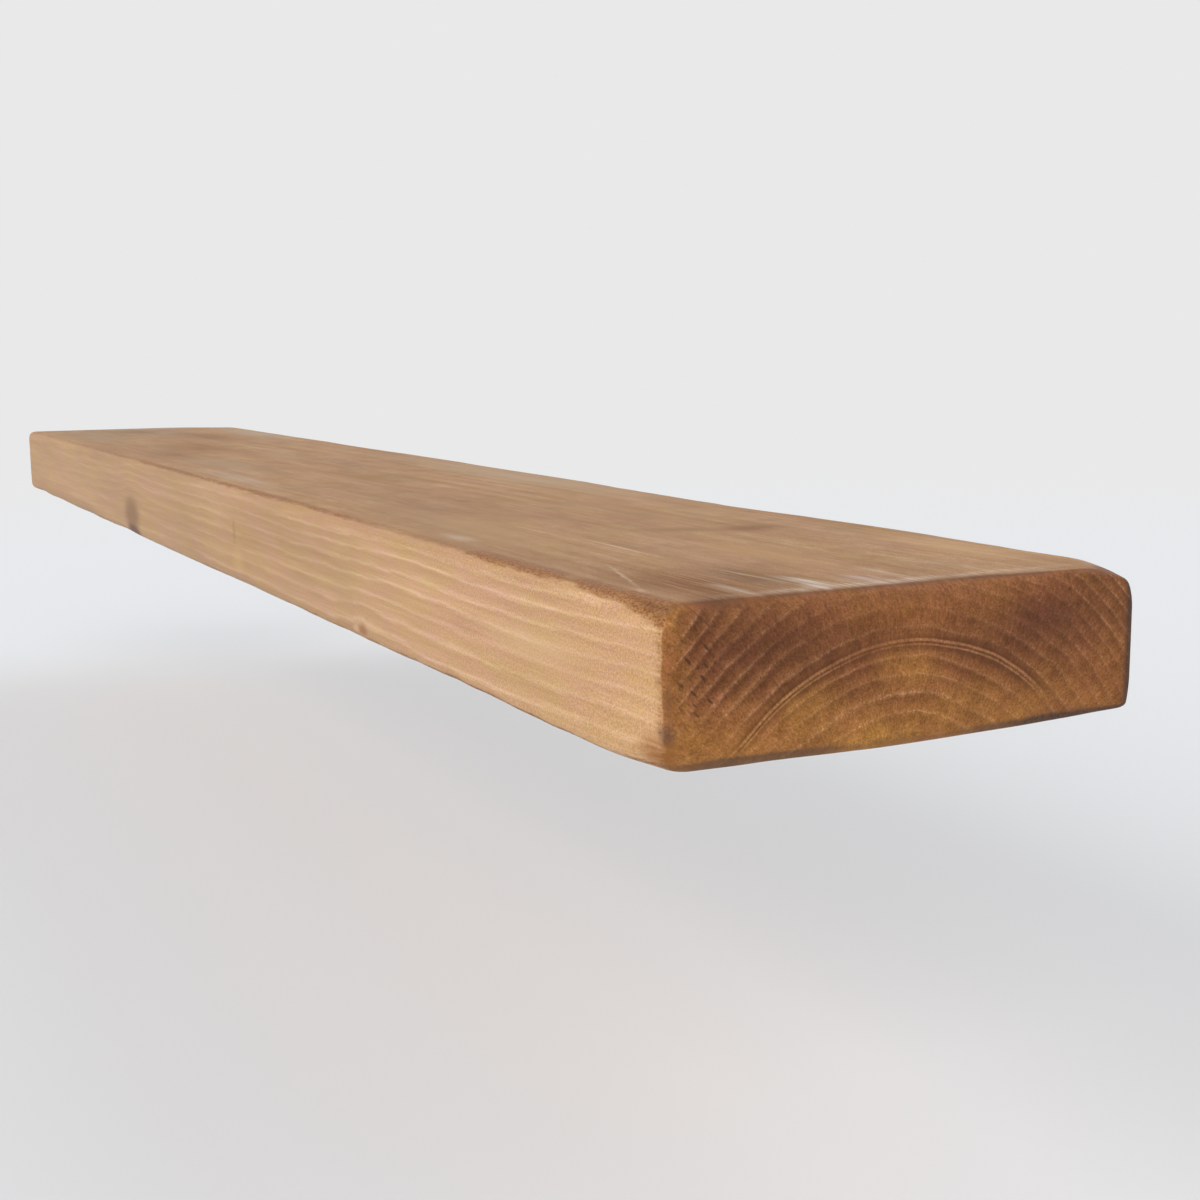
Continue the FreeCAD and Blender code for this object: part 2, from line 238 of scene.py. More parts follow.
def cut_away(piece: bpy.types.Object, cutter: bpy.types.Object) -> None:
    """Takes the cutter's space out of the piece, for good, and removes the cutter.

    Args:
        piece: The closed piece that is cut.
        cutter: A closed shape, or several that don't touch.
    """
    modifier = piece.modifiers.new("cut", "BOOLEAN")
    modifier.object, modifier.operation, modifier.solver = cutter, "DIFFERENCE", "EXACT"
    bpy.context.view_layer.update()
    result = bpy.data.meshes.new_from_object(
        piece.evaluated_get(bpy.context.evaluated_depsgraph_get()))
    piece.modifiers.clear()
    old, piece.data = piece.data, result
    bpy.data.meshes.remove(old)
    bpy.data.objects.remove(cutter)


# ---------------------------------------------------------------- finishes


@dataclass(frozen=True)
class Mark:
    """A knot, scuff, scratch or spot on the wood, or a patch of painted shade or sheen, as an
    ellipsoid of colour with a soft edge.

    Attributes:
        centre: Its middle, in millimetres.
        radii: Its half sizes along its own axes.
        colour: Its sRGB hex colour.
        strength: How much of the wood's colour it hides at its middle.
        turn: Its turn about Z, in degrees.
        core: The part of the radius that has the full strength.
        broken: How far fibre noise breaks it up, from 0 to 1.
    """

    centre: tuple[float, float, float]
    radii: tuple[float, float, float]
    colour: str
    strength: float
    turn: float = 0.0
    core: float = 0.0
    broken: float = 0.0


@dataclass(frozen=True)
class StainedSoftwood:
    """Planed spruce, sanded, wiped with a brown stain and waxed.

    The stain sinks into the soft early wood and hardly into the late wood, so each year ring
    is a brown band with a thin light line. End grain drinks far more of it and goes dark. The
    wax gives a satin gloss.

    Attributes:
        side: Light, middle and dark wood of the long sides and the underside.
        top: The same three of the top, darker than the sides: partly the wood's own colour, partly
            painted shade for the weaker light on the top.
        end: The same three of the ends.
        golden: The colour where the stain is thin, and reddish where it is thick.
        grains: Bare grains on the front by the near end.
        worn: The two colours of an arris that is rubbed through.
        grime: The colour of the ends' dark rims: painted shade on the lower rims and the near
            end's back upright edge, and a dark line along the top and front rims.
        tight_dark: The double line of tight late wood in the end, and tight_pale between.
        pit_dark: The pits in the end.
        pit_zone: The middle and the half sizes of the patch of pits.
        speck: The size of a speck, in millimetres, as all the sizes that follow.
        fibre: The width of a fibre, and fibre_length its length.
        streak: The width of a streak, and streak_length its length.
        far_painted_shade: How light the long sides stay at the far end, 1 for as light as near by;
            this darkening is painted shade for light that falls off along the board.
        ring_line: How strong the light line is across a year ring, and ring_band the brown.
        tight_line: How strong the double line is across its zone, and tight_gap the pale one.
        deepening: For red, green and blue, how fast they fall as the wood darkens, on the
            sides and on the top.
        hues: The two tints that small patches turn to, and drifts those of larger ones.
        marks: What is on the wood in one place only, with a few patches of painted shade and sheen
            among them.
    """

    side: tuple[str, str, str] = ("E6C2A0", "CAA179", "B88F66")
    # darker than the sides: partly the wood's own colour, partly painted shade for the weaker
    # light on the top
    top: tuple[str, str, str] = ("C19A6C", "A77D52", "8D653D")
    end: tuple[str, str, str] = ("CA9870", "905B32", "683D1F")
    golden: str = "B9823F"
    reddish: str = "5E3522"
    grains: str = "DCAA68"
    worn: tuple[str, str] = ("7A4414", "A97239")
    # dark rims: painted shade on the ends' lower rims and back upright edge, and dark lines on
    # their top and front rims
    grime: str = "44342D"
    tight_dark: str = "4A2815"
    tight_pale: str = "BE8A60"
    pit_dark: str = "432A18"
    pit_zone: tuple[tuple[float, ...], tuple[float, ...]] = ((500, -145, 6), (6, 9.5, 17))
    speck: float = 0.6
    fibre: float = 1.1
    fibre_length: float = 45.0
    streak: float = 6.0
    streak_length: float = 170.0
    # painted shade: the long sides darken towards the far end
    far_painted_shade: float = 0.73
    ring_line: Stops = ((0.0, 1.0), (0.11, 0.65), (0.23, 0.08), (0.75, 0.0), (0.88, 0.5),
                        (1.0, 1.0))
    ring_band: Stops = ((0.0, 0.45), (0.2, 0.35), (0.5, 0.55), (0.78, 1.0), (0.9, 0.85),
                        (1.0, 0.45))
    tight_line: Stops = ((0.32, 0.0), (0.36, 0.4), (0.42, 0.6), (0.44, 0.0), (0.462, 0.0),
                         (0.478, 1.0), (0.496, 1.0), (0.512, 0.0), (0.552, 0.0), (0.572, 1.0),
                         (0.6, 0.7), (0.66, 0.15), (0.85, 0.0))
    tight_gap: Stops = ((0.425, 0.0), (0.447, 0.5), (0.468, 0.0), (0.505, 0.0), (0.532, 0.5),
                        (0.558, 0.0))
    deepening: tuple[tuple[float, float], ...] = ((0.84, 0.6), (1.0, 1.0), (1.3, 1.8))
    hues: tuple[tuple[float, ...], ...] = ((1.03, 0.98, 1.07, 1.0), (1.0, 0.995, 0.87, 1.0))
    drifts: tuple[tuple[float, ...], ...] = ((1.015, 0.985, 1.03, 1.0), (1.0, 1.03, 0.91, 1.0))
    marks: tuple[Mark, ...] = (
        # knots, resin and dark stain on the front, and painted shade along its lower edge at the
        # far end
        Mark((-124, -155, -7), (33, 7, 17), "93704F", 0.5),
        Mark((-124, -155, -10), (26, 6, 13), "83603F", 0.75, core=0.3),
        Mark((-121, -154, -19), (24, 6, 5.5), "5C3C26", 0.85, core=0.3),
        Mark((256, -155, -4), (24, 4, 13), "A98C60", 0.4),
        Mark((420, -155, 1), (55, 4, 7), "E4BF94", 0.3),
        Mark((276, -155, -17), (6.5, 3, 2.8), "94603F", 0.7, core=0.3),
        Mark((268, -155, -17.6), (5.5, 3, 2.0), "E8CBA4", 0.3, core=0.3),
        Mark((101, -155, 2), (4, 2, 9), "94704A", 0.6),
        Mark((106, -155, -10), (16, 3, 9), "C9A36C", 0.4),
        # painted shade along the lower edge of the front at the far end
        Mark((-310, -155, -20), (170, 5, 8), "8E6C48", 0.4),
        # clouds of thin and thick stain on the top, and pale grey patches of painted sheen at the
        # far end
        Mark((110, -16, 22), (240, 24, 9), "B1987A", 0.6),
        # painted sheen: a pale grey patch by the back at the far end
        Mark((-370, -15, 22), (150, 22, 9), "A79C8C", 0.5),
        Mark((-345, -54, 22), (90, 30, 9), "6C4E32", 0.55, turn=3, broken=0.5),
        Mark((-215, -92, 22), (90, 30, 9), "6E4D2C", 0.45, turn=-4, broken=0.5),
        Mark((80, -72, 22), (78, 26, 9), "725236", 0.35, turn=4, broken=0.5),
        Mark((-150, -122, 22), (65, 17, 9), "6C5036", 0.45, broken=0.5),
        Mark((-380, -126, 22), (140, 28, 9), "977D5D", 0.6),
        Mark((-60, -116, 22), (125, 26, 9), "9D7F5C", 0.6),
        Mark((315, -126, 22), (110, 26, 9), "A98558", 0.6),
        Mark((425, -76, 22), (60, 16, 9), "B68B5B", 0.5),
        Mark((463, -108, 22), (48, 16, 9), "5A3A22", 0.7, broken=0.4),
        Mark((-480, -90, 22), (230, 95, 3), "8A745C", 0.4),
        # painted sheen: a pale grey patch along the far end
        Mark((-492, -55, 22), (34, 75, 3), "B6A692", 0.35),
        Mark((-440, -86, 22), (54, 24, 9), "6E5236", 0.45, broken=0.4),
        # knots of the top, with stain and wear by the near corners
        Mark((361, -43, 22), (14, 20, 4), "7C4B1A", 0.9, turn=24),
        Mark((352, -66, 22), (11, 30, 4), "86602F", 0.7, turn=-24),
        Mark((468, -128, 22), (56, 21, 4), "74492A", 0.95, turn=2, broken=0.7),
        Mark((493, -136, 21), (13, 11, 4), "5C3C2E", 0.6, broken=0.6),
        Mark((488, -152, 20.5), (16, 3.5, 3), "5E3A27", 0.6, broken=0.6),
        Mark((216, -89, 22), (9, 5, 4), "76582F", 0.6, core=0.1),
        Mark((440, -18, 22), (60, 16, 3), "CFA678", 0.45),
        Mark((495, -155, -17), (13, 8, 9), "99612F", 0.9, core=0.3, broken=0.4),
        Mark((499.5, -154.5, -10), (5, 5, 4.5), "563B32", 0.755),
        Mark((500, -155, -3), (3, 3, 12), "6B493A", 0.35),
        # rubbed wax, scuffs, scratches and painted highlights, most of them near the end
        # a pale strip along the near end's top arris: partly rubbed wax, partly a painted
        # highlight on the arris
        Mark((489.0, -88, 21.5), (5.0, 58, 3), "D8CABE", 0.6, broken=0.85),
        Mark((489.0, -40, 21.5), (4.0, 40, 3), "D2C3B4", 0.45, broken=0.8),
        Mark((481, -84, 22), (14, 9, 2), "CBB6B2", 0.75, broken=0.9),
        Mark((486, -102, 22), (9, 5, 2), "DACBC2", 0.75, broken=0.6),
        Mark((478, -99, 22), (18, 5, 2), "E2D6CA", 0.8, turn=8, broken=0.8),
        Mark((480, -124, 22), (18, 4, 2), "D6C6BA", 0.7, broken=0.8),
        Mark((474, -71, 22), (20, 2.4, 2), "D6C5B5", 0.6, broken=0.8),
        Mark((386, -107, 22), (38, 1.5, 2), "D8BE9F", 0.75, turn=-1, broken=0.3),
        Mark((464, -106, 22), (30, 1.4, 2), "D6C2AA", 0.55, turn=4, broken=0.5),
        Mark((442, -136, 22), (34, 1.1, 2), "D4BC9E", 0.65, turn=-17, broken=0.3),
        Mark((470, -145.5, 21), (7, 2.4, 3), "CDB39A", 0.6, turn=-17, broken=0.6),
        Mark((335, -141, 22), (20, 6, 2), "C8B29C", 0.45),
        # painted sheen: a pale grey patch on the top by the front
        Mark((40, -136, 22), (105, 10, 3), "C4B09C", 0.65, broken=0.3),
        # a chip and a dark spot on the end
        Mark((500, -141, 19.5), (2, 0.6, 0.6), "F0E2D4", 0.9, core=0.6),
        Mark((499, -54.5, -21), (3, 1.6, 1.6), "3A2620", 0.8, core=0.3),
    )

    def build(self, name: str = "stained_softwood") -> bpy.types.Material:
        """Makes the node material; it reads the attributes that Grain works out.

        Args:
            name: The material's name.

        Returns:
            The material.
        """
        material, tree = new_material(name)
        put = functools.partial(add_node, tree)
        place = millimetres(tree)
        x = put("SeparateXYZ", {0: place})
        read = {key: put("Attribute", out="Fac", attribute_name=key)
                for key in ("rings", "reach", "sweep", "lines", "tight", "end", "top", "tone",
                            "wear", "grime")}
        polar = put("CombineXYZ", {0: read["sweep"], 1: read["reach"], 2: 0.0})

        # one feature of each noise fills a cell of the size given, in millimetres
        noise = {}
        for what, source, cell, detail, rough in (
                ("fibres", place, (self.fibre_length, self.fibre, self.fibre), 4.0, 0.6),
                ("streaks", place, (self.streak_length, self.streak, self.streak), 3.0, 0.55),
                ("clouds", place, (140, 38, 30), 2.0, 0.5),
                ("specks", place, (1.2 * self.speck, self.speck, self.speck), 3.0, 0.75),
                ("hairs", place, (30, 0.7, 0.7), 3.0, 0.7),
                ("wobble", place, (60, 9, 9), 3.0, 0.5),
                ("ripple", place, (15, 2.6, 2.6), 2.0, 0.5),
                ("mottle", place, (7, 5, 4), 4.0, 0.7),
                ("coarse", place, (8, 2.4, 2.4), 3.0, 0.65),
                ("blotch", place, (34, 13, 10), 2.0, 0.5),
                ("hue", place, (10, 2.4, 2.4), 4.0, 0.7),
                ("drift", place, (46, 15, 12), 3.0, 0.6),
                ("grains", place, (0.9, 0.7, 0.7), 2.0, 0.6),
                ("ragged", place, (8, 1.6, 1.6), 3.0, 0.65),
                ("flecks", place, (1.3, 0.8, 0.8), 2.0, 0.7),
                ("fading", polar, (22, 3.5, 1.0), 2.0, 0.5),
                ("rays", polar, (0.8, 4.0, 1.0), 3.0, 0.6)):
            scaled = put("Mapping", {"Vector": source, "Scale": tuple(1 / c for c in cell)})
            noise[what] = put("TexNoise", {"Vector": scaled, "Scale": 1.0, "Detail": detail,
                                           "Roughness": rough})

        # for each level: what it reads, its lowest and highest value, and what they become
        level = {}
        for what, value, low, high, least, most in (
                ("wobble", noise["wobble"], 0.0, 1.0, -0.16, 0.16),
                ("ripple", noise["ripple"], 0.0, 1.0, -0.22, 0.22),
                ("fine", noise["fibres"], 0.3, 0.7, 0.55, 1.15),
                ("fading", noise["fading"], 0.38, 0.62, 0.0, 1.0),
                ("tight", read["reach"], 60.0, 75.0, 0.0, 1.0),
                ("grainy", noise["specks"], 0.35, 0.65, 0.3, 1.0),
                ("hair", noise["hairs"], 0.3, 0.7, 0.94, 1.06),
                ("ray", noise["rays"], 0.3, 0.7, 0.8, 1.2),
                ("mottle", noise["mottle"], 0.3, 0.7, 0.75, 1.24),
                ("freckle", x, 150.0, 500.0, 0.2, 1.9),
                ("rubbed", x, 300.0, 480.0, 0.5, 0.95),
                ("hue", noise["hue"], 0.36, 0.64, 0.0, 1.0),
                ("drift", noise["drift"], 0.36, 0.64, 0.0, 1.0),
                ("grains", noise["grains"], 0.5, 0.62, 0.0, 1.0),
                ("near", x, 420.0, 492.0, 0.0, 0.65),
                ("torn", noise["specks"], 0.4, 0.6, 0.55, 1.1),
                ("inside", read["wear"], 0.03, 0.2, 0.0, 1.0),
                ("flecks", noise["flecks"], 0.42, 0.62, 0.0, 1.0),
                ("break_up", noise["fibres"], 0.42, 0.58, 0.0, 1.0),
                ("wax", noise["clouds"], 0.3, 0.7, 0.49, 0.58)):
            level[what] = put("MapRange", {"Value": value, "From Min": low, "From Max": high,
                                           "To Min": least, "To Max": most})

        # year rings: a thin light line of late wood, then a band that darkens outwards
        ripple = put("Mix", {0: read["end"], 2: level["ripple"], 3: 0.0})
        phase = put("Math", {0: read["rings"], 1: level["wobble"]}, operation="ADD")
        phase = put("Math", {0: phase, 1: ripple}, operation="ADD")
        within = put("Math", {0: phase}, operation="FRACT")
        number = put("Math", {0: phase}, operation="FLOOR")
        chance = put("TexWhiteNoise", {"W": number}, noise_dimensions="1D")
        chance = put("MapRange", {"Value": chance, "To Min": 0.45, "To Max": 1.0})
        line, band = (put("ValToRGB", {"Fac": within}, blend="B_SPLINE", stops=stops)
                      for stops in (self.ring_line, self.ring_band))
        for part in (chance, level["fine"]):
            line = put("Math", {0: line, 1: part}, operation="MULTIPLY")
        # on the end the lines are thin and sharp, on the faces wider and soft
        sharp = put("Math", {0: line, 1: 4.0}, operation="POWER")
        sharp = put("Math", {0: sharp, 1: level["fading"]}, operation="MULTIPLY")
        sharp = put("Math", {0: line, 1: 0.25, 2: sharp}, operation="MULTIPLY_ADD")
        line = put("Mix", {0: read["end"], 2: line, 3: sharp})
        line, band = (put("Math", {0: part, 1: read["lines"]}, operation="MULTIPLY")
                      for part in (line, band))

        golden, reddish = (put("Math", {0: read["tone"], 1: amount}, operation="MULTIPLY",
                               use_clamp=True) for amount in (0.75, -0.7))

        # a double line of tight, dark late wood in the end grain, with pale wood between
        double, between = (put("ValToRGB", {"Fac": level["tight"]}, blend="LINEAR",
                               stops=stops) for stops in (self.tight_line, self.tight_gap))
        faint = put("MapRange", {"Value": level["fading"], "To Min": 0.35, "To Max": 0.9})
        for part in (read["tight"], faint):
            between = put("Math", {0: between, 1: part}, operation="MULTIPLY")
        for part in (read["tight"], level["grainy"]):
            double = put("Math", {0: double, 1: part}, operation="MULTIPLY")

        # the wood's three tones, for whichever face the point is on
        tones = []
        for side, top, end in zip(self.side, self.top, self.end):
            upper = put("Mix", {0: read["top"], 6: linear(side), 7: linear(top)}, out=2,
                        data_type="RGBA")
            tones.append(put("Mix", {0: read["end"], 6: upper, 7: linear(end)}, out=2,
                             data_type="RGBA"))
        light, colour, dark = tones
        for amount, over in ((band, dark), (line, light), (golden, linear(self.golden)),
                             (reddish, linear(self.reddish)),
                             (between, linear(self.tight_pale)),
                             (double, linear(self.tight_dark))):
            colour = put("Mix", {0: amount, 6: colour, 7: over}, out=2, data_type="RGBA")

        # fibres, streaks, clouds and pores lighten and darken the wood a little
        swing = put("Math", {0: read["top"], 1: 0.45, 2: 0.3}, operation="MULTIPLY_ADD")
        swing = put("Math", {0: read["end"], 1: 0.2, 2: swing}, operation="MULTIPLY_ADD")
        broad = put("Math", {0: read["top"], 1: 0.35, 2: 0.45}, operation="MULTIPLY_ADD")
        freckle = put("Mix", {0: read["end"], 2: level["freckle"], 3: 2.0})
        rubbed = put("Math", {0: level["rubbed"], 1: read["top"]}, operation="MULTIPLY")
        blotch = put("Math", {0: read["top"], 1: 0.55}, operation="MULTIPLY")
        factor = level["hair"]
        for what in ("ray", "mottle"):
            part = put("Mix", {0: read["end"], 2: 1.0, 3: level[what]})
            factor = put("Math", {0: factor, 1: part}, operation="MULTIPLY")
        for what, amount in (("fibres", swing), ("streaks", broad), ("clouds", broad),
                             ("specks", freckle), ("coarse", rubbed), ("blotch", blotch)):
            part = put("Math", {0: noise[what], 1: 0.5}, operation="SUBTRACT")
            part = put("Math", {0: part, 1: amount, 2: 1.0}, operation="MULTIPLY_ADD")
            factor = put("Math", {0: factor, 1: part}, operation="MULTIPLY")
        # stain deepens as it darkens: red falls slower than the factor and blue faster
        deep = put("CombineXYZ", {axis: put("Math", {0: factor, 1: put("Mix", {
            0: read["top"], 2: side, 3: upper})}, operation="POWER")
            for axis, (side, upper) in enumerate(self.deepening)})
        colour = put("VectorMath", {0: colour, 1: deep}, operation="MULTIPLY")
        # painted shade: away from the top, the wood darkens from x = 560 down to x = 50 and stays
        # that dark to the far end, as if the light fell off along the board
        clear = put("MapRange", {"Value": x, "From Min": 50.0, "From Max": 560.0,
                                 "To Min": self.far_painted_shade, "To Max": 1.0},
                    interpolation_type="SMOOTHSTEP")
        clear = put("Mix", {0: read["top"], 2: clear, 3: 1.0})
        colour = put("VectorMath", {0: colour, "Scale": clear}, operation="SCALE")
        for what, (one, other) in (("hue", self.hues), ("drift", self.drifts)):
            tint = put("Mix", {0: level[what], 6: one, 7: other}, out=2, data_type="RGBA")
            colour = put("VectorMath", {0: colour, 1: tint}, operation="MULTIPLY")

        # bare grains on the front
        grains = put("Math", {0: level["near"], 1: level["grains"]}, operation="MULTIPLY")
        for face in ("end", "top"):
            grains = put("Mix", {0: read[face], 2: grains, 3: 0.0})

        # wear along the arrises, broken by the fibres, and the dark rims of the ends, partly
        # painted shade
        ragged = put("Math", {0: noise["ragged"], 1: 1.4, 2: read["wear"]},
                     operation="MULTIPLY_ADD")
        ragged = put("Math", {0: noise["specks"], 1: ragged}, operation="ADD")
        worn = put("MapRange", {"Value": ragged, "From Min": 1.48, "From Max": 1.92})
        worn = put("Math", {0: worn, 1: level["inside"]}, operation="MULTIPLY")
        worn, grime = (put("Math", {0: part, 1: level["torn"]}, operation="MULTIPLY",
                           use_clamp=True) for part in (worn, read["grime"]))
        bare = put("Mix", {0: level["flecks"], 6: linear(self.worn[0]),
                           7: linear(self.worn[1])}, out=2, data_type="RGBA")

        # short dark pits across the rings by the front of the end
        middle, reach = self.pit_zone
        pit_at = put("Mapping", {"Vector": polar, "Scale": (1 / 1.3, 1 / 4.0, 1.0)})
        cells = put("TexVoronoi", {"Vector": pit_at, "Scale": 1.0}, out=None)
        zone = put("Mapping", {"Vector": place, "Location": middle, "Scale": reach},
                   vector_type="TEXTURE")
        zone = put("VectorMath", {0: zone}, "Value", operation="LENGTH")
        lot = put("SeparateXYZ", {0: cells.outputs["Color"]})
        pit, lot, zone = (put("MapRange", {"Value": value, "From Min": low, "From Max": high})
                          for value, low, high in ((cells.outputs["Distance"], 0.36, 0.2),
                                                   (lot, 0.2, 0.5), (zone, 1.0, 0.55)))
        pit = put("Math", {0: pit, 1: lot}, operation="MULTIPLY")
        pit = put("Math", {0: pit, 1: zone}, operation="MULTIPLY", use_clamp=True)
        pitted = put("Math", {0: pit, 1: 0.8}, operation="MULTIPLY")
        # the dark rims mix in here, partly as painted shade
        for amount, over in ((grains, linear(self.grains)), (worn, bare),
                             (grime, linear(self.grime)), (pitted, linear(self.pit_dark))):
            colour = put("Mix", {0: amount, 6: colour, 7: over}, out=2, data_type="RGBA")

        # knots, scuffs and scratches, with uneven edges
        bent = put("Mapping", {"Vector": place, "Scale": (0.12, 0.35, 0.35)})
        bent = put("TexNoise", {"Vector": bent, "Scale": 1.0, "Detail": 3.0}, out="Color")
        bent = put("VectorMath", {0: bent, 1: (0.5,) * 3}, operation="SUBTRACT")
        bent = put("VectorMath", {0: bent, 1: (5.0, 1.6, 1.6)}, operation="MULTIPLY")
        bent = put("VectorMath", {0: place, 1: bent}, operation="ADD")
        scuffed: Any = 0.0
        for mark in self.marks:
            local = put("Mapping", {"Vector": bent, "Location": mark.centre,
                                    "Rotation": (0.0, 0.0, math.radians(mark.turn)),
                                    "Scale": mark.radii}, vector_type="TEXTURE")
            far = put("VectorMath", {0: local}, "Value", operation="LENGTH")
            cover = put("MapRange", {"Value": far, "From Min": 1.0, "From Max": mark.core,
                                     "To Min": 0.0, "To Max": mark.strength},
                        interpolation_type="SMOOTHSTEP")
            if mark.broken:
                gap = put("MapRange", {"Value": level["break_up"], "To Min": 1 - mark.broken,
                                       "To Max": 1.0})
                cover = put("Math", {0: cover, 1: gap}, operation="MULTIPLY")
                scuffed = put("Math", {0: scuffed, 1: cover}, operation="ADD")
            colour = put("Mix", {0: cover, 6: colour, 7: linear(mark.colour)}, out=2,
                         data_type="RGBA")

        # satin wax, duller where it is scuffed and where the end drank it
        dull = put("Math", {0: read["end"], 1: 0.1, 2: level["wax"]}, operation="MULTIPLY_ADD")
        dull = put("Math", {0: scuffed, 1: 0.25, 2: dull}, operation="MULTIPLY_ADD",
                   use_clamp=True)
        height: Any = 0.0
        for value, amount in ((noise["fibres"], 0.05), (line, 0.04), (noise["specks"], 0.03),
                              (pit, -0.25)):
            height = put("Math", {0: value, 1: amount, 2: height}, operation="MULTIPLY_ADD")
        bump = put("Bump", {"Height": height, "Strength": 0.5, "Distance": MM}, "Normal")
        shader = put("BsdfPrincipled", {"Base Color": colour, "Roughness": dull,
                                        "Specular IOR Level": 0.2, "Normal": bump})
        put("OutputMaterial", {"Surface": shader}, out=None)
        return material


@dataclass(frozen=True)
class RawSoftwood:
    """Spruce that a router and a drill have just cut: pale, dull, with no stain.

    The cutter leaves faint arcs, and torn fibres make it rough.

    Attributes:
        light: Its early wood, and dark its late wood.
        ring_band: How dark the wood is across a year ring.
        fibre: The width of a fibre, in millimetres, and fibre_length its length.
        cutter_step: The spacing of the cutter's arcs, in millimetres.
        roughness_depth: How deep the torn fibres are, in millimetres.
    """

    light: str = "E9CFA6"
    dark: str = "CDA878"
    ring_band: Stops = ((0.0, 0.7), (0.2, 0.2), (0.7, 0.1), (0.9, 0.8), (1.0, 0.7))
    fibre: float = 1.0
    fibre_length: float = 30.0
    cutter_step: float = 1.6
    roughness_depth: float = 0.15

    def build(self, name: str = "raw_softwood") -> bpy.types.Material:
        """Makes the node material.

        Args:
            name: The material's name.

        Returns:
            The material.
        """
        material, tree = new_material(name)
        put = functools.partial(add_node, tree)
        place = millimetres(tree)
        rings = put("Attribute", out="Fac", attribute_name="rings")
        ring = put("Math", {0: rings}, operation="FRACT")
        ring = put("ValToRGB", {"Fac": ring}, blend="B_SPLINE", stops=self.ring_band)
        scaled = put("Mapping", {"Vector": place, "Scale": (
            1 / self.fibre_length, 1 / self.fibre, 1 / self.fibre)})
        fibres = put("TexNoise", {"Vector": scaled, "Scale": 1.0, "Detail": 4.0})
        both = put("Math", {0: ring, 1: 0.6, 2: fibres}, operation="MULTIPLY_ADD")
        both = put("MapRange", {"Value": both, "From Min": 0.3, "From Max": 1.1})
        colour = put("Mix", {0: both, 6: linear(self.light), 7: linear(self.dark)}, out=2,
                     data_type="RGBA")
        arcs = put("TexWave", {"Vector": place, "Scale": 1 / self.cutter_step / 20,
                               "Distortion": 2.0}, out="Fac", wave_type="RINGS",
                   rings_direction="SPHERICAL")
        height = put("Math", {0: arcs, 1: 0.3, 2: fibres}, operation="MULTIPLY_ADD")
        bump = put("Bump", {"Height": height, "Strength": 0.4,
                            "Distance": self.roughness_depth * MM}, "Normal")
        shader = put("BsdfPrincipled", {"Base Color": colour, "Roughness": 0.75, "IOR": 1.5,
                                        "Normal": bump})
        put("OutputMaterial", {"Surface": shader}, out=None)
        return material


@dataclass(frozen=True)
class PlatedSteel:
    """Pressed or turned steel with a thin electroplated coat.

    Zinc left clear looks bright blue-grey, with a fine milky mottle and rubbing marks from
    the barrel; a yellow passivate over it turns it gold with green and pink clouds.

    Attributes:
        base: The coat's colour.
        tint: The colour of its clouds.
        roughness: Its middle roughness.
        mottle: The size of its clouds, in millimetres.
        line: The spacing of its turning or rolling marks, in millimetres.
        line_depth: How deep those marks are, in millimetres.
    """

    base: str
    tint: str
    roughness: float
    mottle: float
    line: tuple[float, float, float]
    line_depth: float = 0.05

    def build(self, name: str) -> bpy.types.Material:
        """Makes the node material.

        Args:
            name: The material's name.

        Returns:
            The material.
        """
        material, tree = new_material(name)
        put = functools.partial(add_node, tree)
        place = millimetres(tree)
        clouds = put("TexNoise", {"Vector": place, "Scale": 1 / self.mottle, "Detail": 4.0,
                                  "Roughness": 0.6})
        amount = put("MapRange", {"Value": clouds, "From Min": 0.35, "From Max": 0.65})
        colour = put("Mix", {0: amount, 6: linear(self.base), 7: linear(self.tint)}, out=2,
                     data_type="RGBA")
        lined = put("Mapping", {"Vector": place, "Scale": tuple(1 / c for c in self.line)})
        marks = put("TexNoise", {"Vector": lined, "Scale": 1.0, "Detail": 3.0})
        scratch = put("MapRange", {"Value": marks, "From Min": 0.35, "From Max": 0.65,
                                   "To Min": -0.07, "To Max": 0.09})
        dull = put("Math", {0: scratch, 1: self.roughness}, operation="ADD", use_clamp=True)
        bump = put("Bump", {"Height": marks, "Strength": 0.25,
                            "Distance": self.line_depth * MM}, "Normal")
        shader = put("BsdfPrincipled", {"Base Color": colour, "Metallic": 1.0,
                                        "Roughness": dull, "Normal": bump})
        put("OutputMaterial", {"Surface": shader}, out=None)
        return material


@dataclass(frozen=True)
class GreyNylon:
    """Moulded polyamide: mid grey, a little translucent, with a dull eroded-mould skin.

    Attributes:
        base: Its colour, and pale that of its flow clouds.
        flow: The size of the clouds, in millimetres.
        spark: The size of the eroded mould's grain, in millimetres.
        spark_depth: How deep that grain is, in millimetres.
    """

    base: str = "8F9296"
    pale: str = "A0A3A6"
    flow: float = 6.0
    spark: float = 0.35
    spark_depth: float = 0.05

    def build(self, name: str = "grey_nylon") -> bpy.types.Material:
        """Makes the node material.

        Args:
            name: The material's name.

        Returns:
            The material.
        """
        material, tree = new_material(name)
        put = functools.partial(add_node, tree)
        place = millimetres(tree)
        flow, skin = (put("TexNoise", {"Vector": place, "Scale": 1 / size, "Detail": 2.0})
                      for size in (self.flow, self.spark))
        colour = put("Mix", {0: flow, 6: linear(self.base), 7: linear(self.pale)}, out=2,
                     data_type="RGBA")
        dull = put("MapRange", {"Value": skin, "To Min": 0.48, "To Max": 0.62})
        bump = put("Bump", {"Height": skin, "Strength": 0.3,
                            "Distance": self.spark_depth * MM}, "Normal")
        shader = put("BsdfPrincipled", {
            "Base Color": colour, "Roughness": dull, "IOR": 1.53, "Normal": bump,
            "Subsurface Weight": 0.08, "Subsurface Scale": 0.5 * MM})
        put("OutputMaterial", {"Surface": shader}, out=None)
        return material


# ---------------------------------------------------------------- the board


